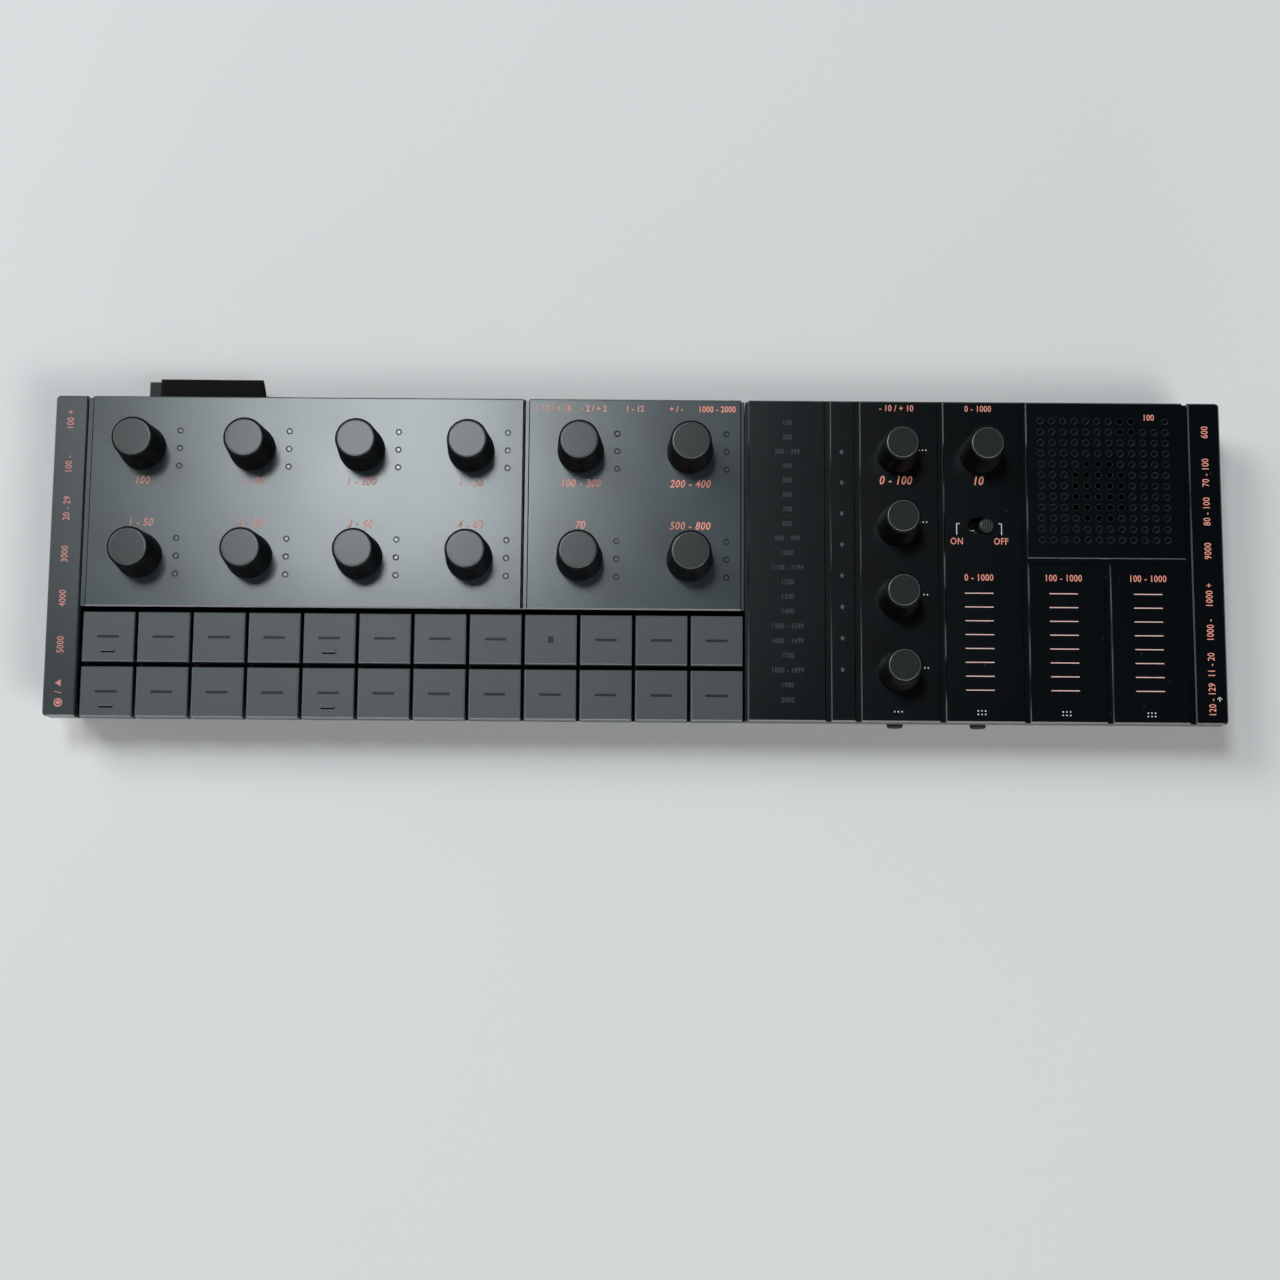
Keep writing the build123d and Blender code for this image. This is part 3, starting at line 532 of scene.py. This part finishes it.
def makeLights():
    height = (lightRecess["depth"] - lightRecess["below"]) * mm
    bm = bmesh.new()
    # Painted shade: a dark disc at the foot of each knob light recess, wider than the lens, stands
    # in for the shade in the gap round it
    seats = bmesh.new()
    for row in ("rear", "front"):
        for number in range(1, knobCount["track"] + 1):
            axis = centreOf(f"{row}_knob_{number}")
            for step in (-1, 0, 1):
                spot = Vector((axis.x + knobLights["offset"] * mm,
                               axis.y + step * knobLights["pitch"] * mm,
                               deckTop - lightRecess["depth"] * mm))
                addDisc(bm, spot, knobLights["radius"], height)
                addDisc(seats, spot, knobLights["seat"], knobLights["seatHeight"])
    smooth = smoothBelow["moulded"]
    finishPiece("knob_lights", bm, ["lightLens"], "case", smooth)
    finishPiece("knob_light_seats", seats, ["lightRecessShade"], "case", smooth)
    bm = bmesh.new()
    for number in range(stripLights["count"]):
        y = stripLights["rear"] - stripLights["pitch"] * number
        spot = onDeck(stripLights["fromLeft"], y, -lightRecess["depth"])
        addDisc(bm, spot, stripLights["radius"], height)
    finishPiece("strip_lights", bm, ["lightPipe"], "case", smooth)


makeLights()


# Painted shade: dark sheet on the floor of the groove between the two fields of the track panel,
# for the shade of the split there; in mm

panelGrooveShade = {"fromLeft": 137.56, "width": 0.5, "front": 32.4, "rear": 94.3, "level": -0.47,
              "thick": 0.06}


def makePanelGrooveShade():
    middle = (panelGrooveShade["front"] + panelGrooveShade["rear"]) / 2
    length = panelGrooveShade["rear"] - panelGrooveShade["front"]
    bm = bmesh.new()
    addBar(bm, onDeck(panelGrooveShade["fromLeft"], middle, panelGrooveShade["level"]),
           (panelGrooveShade["width"] * mm, length * mm, panelGrooveShade["thick"] * mm))
    finishPiece("panel_groove_shade", bm, ["speakerBlack"], "case")


makePanelGrooveShade()


# Light windows in the keys

keyWindow = {"slit": (6.1 * mm, 0.6 * mm), "square": (1.4 * mm, 1.7 * mm),
             "squareKey": "rear_key_09", "below": 0.10 * mm, "thick": 0.15 * mm,
             "keysBelowDeck": 0.4 * mm}
keyTop = deckTop - keyWindow["keysBelowDeck"]
# Painted shadow: dark line on the key top along the front of the locator ridges, where they cast
# shade
locatorShadow = {"keys": ("01", "05"), "front": 4.42 * mm, "size": (4.0 * mm, 0.52 * mm),
               "above": 0.01 * mm}
windowLook = ["smokedWindow", "speakerBlack"]


def makeKeyWindow(node):
    centre = centreOf(node)
    thick = keyWindow["thick"]
    width, depth = keyWindow["square" if node == keyWindow["squareKey"] else "slit"]
    bm = bmesh.new()
    addBar(bm, Vector((centre.x, centre.y, keyTop - keyWindow["below"] - thick / 2)),
           (width, depth, thick))
    if node[-2:] in locatorShadow["keys"]:
        level = keyTop + locatorShadow["above"] - thick / 2
        shadow = addBar(bm, Vector((centre.x, centre.y - locatorShadow["front"], level)),
                      (*locatorShadow["size"], thick))
        paintFaces(shadow, windowLook.index("speakerBlack"))
    finishPiece(node + "_window", bm, windowLook, node + "_body")


for node in sorted(nodes):
    if "_key_" in node:
        makeKeyWindow(node)
print("lights and key windows done")


# Printing. All its measures are in mm, places from the left and the front edge of the case

printing = {
    "thickness": 0.03,
    "sunk": 0.01,               # of the thickness, in the cover
    "narrow": 0.84,             # letters are narrower than the built-in face
    "capShare": 0.73,           # height of a capital as a share of the type size
    "curveSteps": 3,
}
inkMiddle = printing["thickness"] / 2 - printing["sunk"]

# height is that of a capital, weight thickens the strokes, spacing 1 is that of the face
lettering = {
    "knob": dict(height=2.35, slant=0.22, weight=0.05, spacing=1.12),
    "field": dict(height=2.6, slant=0.22, weight=0.05, spacing=1.1),
    "rear": dict(height=1.85, weight=0.04, spacing=1.06),
    "end": dict(height=2.05, turn=90, weight=0.025, spacing=1.06),
    "slash": dict(height=2.0, turn=90, weight=0.04),
    "control": dict(height=1.9, weight=0.025, spacing=1.06),
    "switch": dict(height=2.0, weight=0.025, spacing=1.1),
    "touch": dict(height=2.0, weight=0.025, spacing=1.08),
    "display": dict(height=1.55, weight=0.025, spacing=1.08),
}


# Words as thin solids, centred on a place on the deck
def drawWords(bm, words, x, y, height, turn=0.0, slant=0.0, weight=0.0, spacing=1.0):
    curve = bpy.data.curves.new("words", "FONT")
    curve.body = words
    curve.size = height / printing["capShare"]
    curve.shear = slant
    curve.offset = weight
    curve.space_character = spacing
    curve.align_x = "CENTER"
    curve.align_y = "CENTER"
    curve.resolution_u = printing["curveSteps"]
    curve.extrude = printing["thickness"] / 2
    writer = bpy.data.objects.new("words", curve)
    bpy.context.scene.collection.objects.link(writer)
    bpy.context.view_layer.update()
    written = writer.evaluated_get(bpy.context.evaluated_depsgraph_get())
    mesh = bpy.data.meshes.new_from_object(written)
    bpy.data.objects.remove(writer)
    bpy.data.curves.remove(curve)
    mesh.transform(Matrix.Translation(onDeck(x, y, inkMiddle))
                   @ Matrix.Rotation(math.radians(turn), 4, "Z")
                   @ Matrix.Diagonal((printing["narrow"] * mm, mm, mm, 1)))
    joinMesh(bm, mesh)


def addWords(bm, style, words, x, y):
    drawWords(bm, words, x, y, **lettering[style])


def addLine(bm, x, y, length, width, turn=0.0):
    size = (length * mm, width * mm, printing["thickness"] * mm)
    addBar(bm, onDeck(x, y, inkMiddle), size, math.radians(turn))


def addDot(bm, x, y, radius, segments=16, turn=0.0):
    addDisc(bm, onDeck(x, y, -printing["sunk"]), radius * mm, printing["thickness"] * mm,
            segments, math.radians(turn))


def addRing(bm, x, y, inner, outer, steps=32):
    centre = onDeck(x, y, -printing["sunk"])
    top = centre.z + printing["thickness"] * mm
    ring = bmesh.new()
    spinProfile(ring, [(inner * mm, centre.z), (outer * mm, centre.z), (outer * mm, top),
                       (inner * mm, top), (inner * mm, centre.z)], centre, steps)
    joinShape(bm, ring)


knobGrid = {"first": 26.0, "pitch": 32.0}
knobColumns = [knobGrid["first"] + knobGrid["pitch"] * i for i in range(knobCount["track"])]
labelRows = {"rear": 69.3, "front": 56.8}
knobLabels = {"rear": ("100", "1 - 20", "1 - 200", "1 - 30", "100 - 300", "200 - 400"),
              "front": ("1 - 50", "2 - 50", "3 - 60", "4 - 60", "70", "500 - 800")}
rearLabels = {"y": 91.7, "words": ((145.9, "1 / 2 / 4 / 8"), (157.8, "- 2 / + 2"),
                                   (169.8, "1 - 12"), (181.95, "+ / -"), (193.9, "1000 - 2000"))}
# Piece: its colour, first knob column, the column after its last, and whether it has rearLabels
trackFields = {"drum_printing": ("printRose", 0, 4, False),
               "synth_printing": ("printOrange", 4, 6, True)}


def printTrackFields():
    for name, (finish, first, last, hasRearLabels) in trackFields.items():
        bm = bmesh.new()
        for row, y in labelRows.items():
            for words, x in list(zip(knobLabels[row], knobColumns))[first:last]:
                addWords(bm, "knob", words, x, y)
        if hasRearLabels:
            for x, words in rearLabels["words"]:
                addWords(bm, "rear", words, x, rearLabels["y"])
        finishPiece(name, bm, [finish], "case")


# Numbers along the left end, then a slash, a triangle, and a dot in a ring
leftEnd = {
    "x": 4.5,
    "words": ((87.3, "100 +"), (73.95, "100 -"), (60.85, "20 - 29"), (47.3, "3000"),
              (34.3, "4000"), (20.7, "5000")),
    "slash": 6.9,
    "triangle": (9.6, 1.15, 3, 90),     # y, radius, sides, turn
    "ring": (3.9, 0.85, 1.25),          # y, inner and outer radius
    "dot": (3.9, 0.6),
}


def printLeftEnd():
    bm = bmesh.new()
    x = leftEnd["x"]
    for y, words in leftEnd["words"]:
        addWords(bm, "end", words, x, y)
    addWords(bm, "slash", "/", x, leftEnd["slash"])
    addDot(bm, x, *leftEnd["triangle"])
    addRing(bm, x, *leftEnd["ring"])
    addDot(bm, x, *leftEnd["dot"])
    finishPiece("left_printing", bm, ["printRose"], "case")


rightEnd = {
    "x": 336.6,
    "words": ((85.9, "600"), (73.85, "70 - 100"), (62.3, "80 - 100"), (50.6, "9000"),
              (37.6, "1000 +"), (27.35, "1000 -"), (17.2, "11 - 20"), (7.1, "120 - 129")),
}
# Lettering, words, and their x and y
controlWords = (("control", "- 10 / + 10", 246.4, 92.4), ("control", "0 - 1000", 270.3, 92.4),
                ("field", "0 - 100", 245.9, 70.8), ("field", "10", 269.95, 70.8),
                ("switch", "ON", 263.65, 52.9), ("switch", "OFF", 276.5, 52.9),
                ("control", "100", 320.2, 90.1))
touchFields = {"columns": (269.9, 294.35, 318.8), "first": 37.7, "pitch": 4.04, "count": 8,
               "length": 8.25, "width": 0.28, "heading": 42.2,
               "headings": ("0 - 1000", "100 - 1000", "100 - 1000")}


def printControls():
    bm = bmesh.new()
    for y, words in rightEnd["words"]:
        addWords(bm, "end", words, rightEnd["x"], y)
    for style, words, x, y in controlWords:
        addWords(bm, style, words, x, y)
    for words, x in zip(touchFields["headings"], touchFields["columns"]):
        addWords(bm, "touch", words, x, touchFields["heading"])
    finishPiece("control_printing", bm, ["printOrange"], "case")


def printTouchFields():
    bm = bmesh.new()
    for x in touchFields["columns"]:
        for number in range(touchFields["count"]):
            addLine(bm, x, touchFields["first"] - touchFields["pitch"] * number,
                    touchFields["length"], touchFields["width"])
    finishPiece("touch_printing", bm, ["printPink"], "case")


# Hooked lines at both sides of the slide switch
switchLines = {"columns": ((-1, 263.65), (1, 276.7)), "y": 56.6, "length": 3.4, "width": 0.24,
               "hookY": 58.2, "hookLength": 0.9, "hookOffset": 0.4}
dots = {"radius": 0.22, "sides": 12, "pitch": 1.05, "row": (246.2, 3.0),
        "blocks": ((270.2, 2.9), (294.6, 2.8), (319.0, 2.65)), "halfGap": 0.5,
        "besideKnobs": 253.95, "knobPitch": 1.0, "aboveAxis": 1.05}
# Arrow at the right end: x, y, length, width and turn of each stroke
arrow = ((338.6, 7.2, 1.3, 0.22, 90), (338.25, 7.55, 0.9, 0.22, 45),
         (338.95, 7.55, 0.9, 0.22, -45))


def printDots():
    bm = bmesh.new()
    for side, x in switchLines["columns"]:
        addLine(bm, x, switchLines["y"], switchLines["width"], switchLines["length"])
        addLine(bm, x - side * switchLines["hookOffset"], switchLines["hookY"],
                switchLines["hookLength"], switchLines["width"])
    for step in (-1, 0, 1):
        offset = dots["pitch"] * step
        x, y = dots["row"]
        addDot(bm, x + offset, y, dots["radius"], dots["sides"])
        for x, y in dots["blocks"]:
            for rise in (dots["halfGap"], -dots["halfGap"]):
                addDot(bm, x + offset, y + rise, dots["radius"], dots["sides"])
    for number in range(1, knobCount["sound"] + 1):
        y = (centreOf(f"sound_knob_{number}").y - caseFront) / mm + dots["aboveAxis"]
        for step in (-1, 0, 1):
            addDot(bm, dots["besideKnobs"] + dots["knobPitch"] * step, y, dots["radius"],
                   dots["sides"])
    for stroke in arrow:
        addLine(bm, *stroke)
    finishPiece("dot_printing", bm, ["printWhite"], "case")


# Faint list of numbers on the dark display; the long ones say from and to
displayList = {"x": 214.4, "top": 92.14, "pitch": 4.3, "count": 20,
               "long": (3, 9, 11, 15, 16, 18)}


def printDisplay():
    bm = bmesh.new()
    for number in range(1, displayList["count"] + 1):
        words = f"{number}00"
        if number in displayList["long"]:
            words += f" - {number}99"
        addWords(bm, "display", words, displayList["x"],
                 displayList["top"] - displayList["pitch"] * number)
    finishPiece("display_printing", bm, ["printFaint"], "case")


printTrackFields()
printLeftEnd()
printControls()
printTouchFields()
printDots()
printDisplay()

# Painted highlights: slightly paler thin rings round the grille holes, for the glints on their
# edges, in mm; the places under the number have no hole
grilleGlints = {"fromLeft": 288.545, "rear": 89.0, "pitch": (3.3187, 3.2182), "count": 12,
              "inner": 0.90, "outer": 1.01, "sides": 12, "bare": ((0, 9), (0, 10))}


def makeGrilleGlints():
    bm = bmesh.new()
    for row in range(grilleGlints["count"]):
        for column in range(grilleGlints["count"]):
            if (row, column) not in grilleGlints["bare"]:
                addRing(bm, grilleGlints["fromLeft"] + grilleGlints["pitch"][0] * column,
                        grilleGlints["rear"] - grilleGlints["pitch"][1] * row,
                        grilleGlints["inner"], grilleGlints["outer"], grilleGlints["sides"])
    finishPiece("grille_glints", bm, ["grilleGlint"], "case")


makeGrilleGlints()
print("printing done")


# Slide switch

switchCap = {
    "plateHeight": 1.0 * mm,
    "radius": 2.1 * mm,
    "steps": 48,
    "edge": 0.25 * mm,
    "edgeSegments": 3,
    "rimFrom": 0.9,             # of the radius: edges outside it are the rim
    "ridges": 5,
    "ridgePitch": 0.72 * mm,
    "ridgeWidth": 0.34 * mm,
    "ridgeHeight": 0.3 * mm,
    "ridgeShort": 0.4 * mm,     # ridges end before the rounded rim
    "ridgeEdge": 0.08 * mm,
    "ridgeSegments": 2,
    # painted highlights: pale glints on the plate beside the cap, in mm: x and y from its axis,
    # length, width, look
    "glints": ((-3.75, -1.0, 1.25, 0.26, "printWhite"), (-3.7, -1.75, 0.6, 0.45, "knobRim"),
              (-2.75, -1.6, 0.7, 0.3, "knobRim")),
    "glintThickness": 0.04 * mm,
}
switchLook = ["speakerBlack", "switchGrey", "knobTop", "printWhite", "knobRim"]


# Round cap with straight ridges across its top
def makeRidgedCap(centre, plateTop, capTop):
    radius = switchCap["radius"]
    ridgeHeight = switchCap["ridgeHeight"]
    cap = bmesh.new()
    spinProfile(cap, [(0, plateTop), (radius, plateTop), (radius, capTop), (0, capTop)], centre,
                switchCap["steps"])
    rim = [e for e in cap.edges
           if all(abs(v.co.z - capTop) < tolerance["height"]
                  and (v.co.xy - centre.xy).length > radius * switchCap["rimFrom"]
                  for v in e.verts)]
    bevelEdges(cap, rim, switchCap["edge"], switchCap["edgeSegments"])
    for number in range(switchCap["ridges"]):
        offset = (number - (switchCap["ridges"] - 1) / 2) * switchCap["ridgePitch"]
        chord = 2 * math.sqrt((radius - switchCap["edge"]) ** 2 - offset ** 2)
        ridge = addBar(cap, Vector((centre.x + offset, centre.y, capTop + ridgeHeight / 2)),
                       (switchCap["ridgeWidth"], chord - switchCap["ridgeShort"], ridgeHeight))
        edges = {e for v in ridge for e in v.link_edges}
        bevelEdges(cap, list(edges), switchCap["ridgeEdge"], switchCap["ridgeSegments"])
    return cap


def makeSwitch():
    low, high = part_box("effect_switch")
    centre = (low + high) / 2
    plateTop = low.z + switchCap["plateHeight"]
    capTop = high.z - switchCap["ridgeHeight"]
    bm = bmesh.new()
    addBar(bm, Vector((centre.x, centre.y, (low.z + plateTop) / 2)),
           (high.x - low.x, high.y - low.y, plateTop - low.z))
    joinShape(bm, makeRidgedCap(centre, plateTop, capTop))
    # Painted shade: the cap between the ridges takes the dark look and the ridges the pale grey,
    # so the hollows read dark
    for face in bm.faces:
        level = face.calc_center_median().z
        if level > plateTop + levelStep:
            onTop = level > capTop + levelStep
            face.material_index = switchLook.index("switchGrey" if onTop else "knobTop")
    for x, y, length, width, look in switchCap["glints"]:
        glint = addBar(bm, Vector((centre.x + x * mm, centre.y + y * mm, plateTop)),
                      (length * mm, width * mm, switchCap["glintThickness"]))
        paintFaces(glint, switchLook.index(look))
    piece = finishPiece("effect_switch_cap", bm, switchLook, "effect_switch_body",
                        smoothBelow["moulded"])
    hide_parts("effect_switch")


makeSwitch()


# Nickel ring inside the mouth of each round socket

socketRing = {"outer": 1.8 * mm, "inner": 1.62 * mm, "length": 2 * mm, "inset": 0.4 * mm,
              "steps": 40}


def makeSocketRings():
    low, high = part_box("sockets")
    axisHeight = (low.z + high.z) / 2
    mouth = high.x - socketRing["inset"]
    inner = axisHeight + socketRing["inner"]
    outer = axisHeight + socketRing["outer"]
    for mount in frame["record"]["mounts"]:
        if mount["kind"] != "bore":
            continue
        y = mount["pos_m"][1]
        bm = bmesh.new()
        points = [(mouth - socketRing["length"], y, outer), (mouth, y, outer),
                  (mouth, y, inner), (mouth - socketRing["length"], y, inner)]
        spinChain(bm, points, (0, y, axisHeight), (1, 0, 0), socketRing["steps"], closed=True)
        finishPiece(mount["name"] + "_ring", bm, ["contactMetal"], "case",
                    smoothBelow["moulded"])


makeSocketRings()
print("switch and sockets done")


# Folded tag

tagCloth = {
    "labelWidth": 31.7 * mm,
    "labelReach": 0.0 * mm,     # short of the CAD strip's end
    "labelGap": 0.40 * mm,      # half the distance between the two layers
    "ribbonWidth": 14.0 * mm,
    "ribbonReach": 0.9 * mm,
    "ribbonGap": 0.16 * mm,
    "sideInset": 0.1 * mm,      # from the CAD strip's left and right edges
    "startInset": 0.3 * mm,     # from its inner end
    "thickness": 0.22 * mm,
    "wave": 0.10 * mm,
    "waveReach": 8.0 * mm,      # the wave grows over this length up to the fold
    "waveLength": 1.1,          # as a share of the width
    "wavePhase": 0.6,
    "cornerSlant": 1.2 * mm,    # right corner of the label is cut back at the fold
    "slantShare": 0.2,          # of the width, at the right
    "across": 24,               # faces across, along each layer and round the fold
    "along": 10,
    "round": 8,
}


# Pulls a row of edges along Y in even steps and gives back the last row
def pullEdges(bm, edges, dy):
    moved = edges
    for _ in range(tagCloth["along"]):
        made = bmesh.ops.extrude_edge_only(bm, edges=moved)["geom"]
        moved = [e for e in made if isinstance(e, bmesh.types.BMEdge)
                 and abs(e.verts[0].co.y - e.verts[1].co.y) < tolerance["row"]]
        verts = {v for e in moved for v in e.verts}
        bmesh.ops.translate(bm, verts=list(verts), vec=(0, dy / tagCloth["along"], 0))
    return moved


# Strip of cloth folded once about an edge that runs along X. Its UV map is in millimetres
def makeFold(name, left, width, short, gap, slant, finish):
    low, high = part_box("pull_tag")
    middle = (low.z + high.z) / 2
    start = low.y + tagCloth["startInset"]
    bend = high.y - short - gap - tagCloth["thickness"] / 2
    straight = bend - start
    bm = bmesh.new()
    row = [bm.verts.new((left + width * i / tagCloth["across"], start, middle + gap))
           for i in range(tagCloth["across"] + 1)]
    edges = [bm.edges.new(pair) for pair in zip(row, row[1:])]
    edges = pullEdges(bm, edges, straight)
    turned = bmesh.ops.spin(bm, geom=edges + list({v for e in edges for v in e.verts}),
                            cent=(0, bend, middle), axis=(1, 0, 0), dvec=(0, 0, 0),
                            angle=-math.pi, steps=tagCloth["round"])["geom_last"]
    pullEdges(bm, [e for e in turned if isinstance(e, bmesh.types.BMEdge)], -straight)
    bmesh.ops.remove_doubles(bm, verts=bm.verts, dist=tolerance["thread"])
    uvLayer = bm.loops.layers.uv.new("cloth")
    for face in bm.faces:
        for loop in face.loops:
            place = loop.vert.co
            along = place.y if place.z > middle else 2 * bend - place.y
            loop[uvLayer].uv = ((place.x - left) / mm, along / mm)
    reach = tagCloth["waveReach"]
    slantFrom = 1 - tagCloth["slantShare"]
    for vert in bm.verts:
        out = max(0.0, (vert.co.y - (high.y - reach)) / reach)
        share = (vert.co.x - left) / width
        turn = 2 * math.pi * share / tagCloth["waveLength"] + tagCloth["wavePhase"]
        vert.co.z += tagCloth["wave"] * out * math.sin(turn)
        vert.co.x -= slant * out ** 2 * max(0.0, share - slantFrom) / tagCloth["slantShare"]
    bmesh.ops.recalc_face_normals(bm, faces=bm.faces)
    piece = finishPiece(name, bm, [finish], "case", smoothBelow["cloth"])
    solid = piece.modifiers.new("thickness", "SOLIDIFY")
    solid.thickness = tagCloth["thickness"]
    solid.offset = 0
    flat = (width, 2 * straight + math.pi * gap)
    return piece, flat


tagLow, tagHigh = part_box("pull_tag")
labelLeft = tagHigh.x - tagCloth["labelWidth"] - tagCloth["sideInset"]
label, labelFlat = makeFold("tag_label", labelLeft, tagCloth["labelWidth"],
                            tagCloth["labelReach"], tagCloth["labelGap"],
                            tagCloth["cornerSlant"], "tagBlack")
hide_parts("pull_tag")
ribbonLeft = tagLow.x + tagCloth["sideInset"]
ribbonPiece, ribbonFlat = makeFold("tag_ribbon", ribbonLeft, tagCloth["ribbonWidth"],
                                   tagCloth["ribbonReach"], tagCloth["ribbonGap"], 0, "tagGrey")
print("tag done")


# Floor, lights and camera

floorSheet = {"halfWidth": 2.2, "paint": {"Base Color": (0.86, 0.86, 0.86, 1), "Roughness": 0.7,
                                          "Specular IOR Level": 0.2}}


def makeFloor():
    bm = bmesh.new()
    bmesh.ops.create_grid(bm, x_segments=1, y_segments=1, size=floorSheet["halfWidth"])
    mesh = bpy.data.meshes.new("floor")
    bm.to_mesh(mesh)
    bm.free()
    material, _, shader = startMaterial("floorPaint")
    setInputs(shader, floorSheet["paint"])
    mesh.materials.append(material)
    floor = bpy.data.objects.new("floor", mesh)
    bpy.context.scene.collection.objects.link(floor)


# name: place, point it faces, size (all in metres), power in watts, colour
studioLights = {
    "ceilingLight": ((-0.265, 0.418, 1.52), (-0.265, 0.418, 0), (0.31, 0.38), 7.0,
                     (0.90, 0.97, 1.0)),
    "mainLight": ((-1.7, 1.2, 2.2), (0, 0, 0), (1.2, 1.2), 30.0, (1, 1, 1)),
    "fillLight": ((1.4, -1.3, 2.2), (0, 0, 0), (1.2, 1.2), 26.0, (1, 1, 1)),
    "leftStrip": ((-1.7, 0.2, 0.30), (0, 0.2, 0.30), (0.8, 0.45), 5.0, (1, 1, 1)),
    "frontStrip": ((-0.1, -1.8, 0.20), (-0.1, 0, 0.20), (1.6, 0.24), 12.0, (1, 1, 1)),
}
# The sky is a pale wall all round with a dark ceiling, so that flat black tops stay black
sky = {"wall": 0.7, "ceiling": 0.015, "wallTop": 0.45, "colour": (0.86, 0.95, 1.0, 1)}


def addLight(name, place, target, size, power, colour):
    lamp = bpy.data.lights.new(name, "AREA")
    lamp.shape = "RECTANGLE"
    lamp.size, lamp.size_y = size
    lamp.energy = power
    lamp.color = colour
    holder = bpy.data.objects.new(name, lamp)
    holder.location = place
    aim = Vector(target) - Vector(place)
    holder.rotation_euler = aim.to_track_quat("-Z", "Y").to_euler()
    bpy.context.scene.collection.objects.link(holder)


def makeSky():
    world = bpy.data.worlds.new("studio")
    world.use_nodes = True
    tree = world.node_tree
    background = tree.nodes["Background"]
    place = tree.nodes.new("ShaderNodeTexCoord").outputs["Generated"]
    split = tree.nodes.new("ShaderNodeSeparateXYZ")
    tree.links.new(place, split.inputs[0])
    fade = tree.nodes.new("ShaderNodeMapRange")
    fade.interpolation_type = "SMOOTHSTEP"
    setInputs(fade, {"From Min": 0.0, "From Max": sky["wallTop"], "To Min": sky["wall"],
                     "To Max": sky["ceiling"]})
    tree.links.new(split.outputs["Z"], fade.inputs["Value"])
    setInputs(background, {"Color": sky["colour"]})
    tree.links.new(fade.outputs["Result"], background.inputs["Strength"])
    bpy.context.scene.world = world


makeFloor()
makeSky()
for name, settings in studioLights.items():
    addLight(name, *settings)
bpy.context.scene.view_settings.view_transform = "Standard"

view = {
    "place": (0.00272, -0.11661, 0.63515),
    "turn": (8.228, 0.070, 0.436),      # degrees about X, Y and Z, from straight down
    "lens": 60.2,                       # mm, on a sensor of this width
    "sensor": 36.0,
    "clipStart": 0.01,
}


def addCamera():
    camera = bpy.data.cameras.new("camera")
    camera.lens = view["lens"]
    camera.sensor_width = view["sensor"]
    camera.clip_start = view["clipStart"]
    holder = bpy.data.objects.new("camera", camera)
    holder.location = view["place"]
    holder.rotation_euler = Euler([math.radians(angle) for angle in view["turn"]], "XYZ")
    bpy.context.scene.collection.objects.link(holder)
    bpy.context.scene.camera = holder


addCamera()
print("studio done")
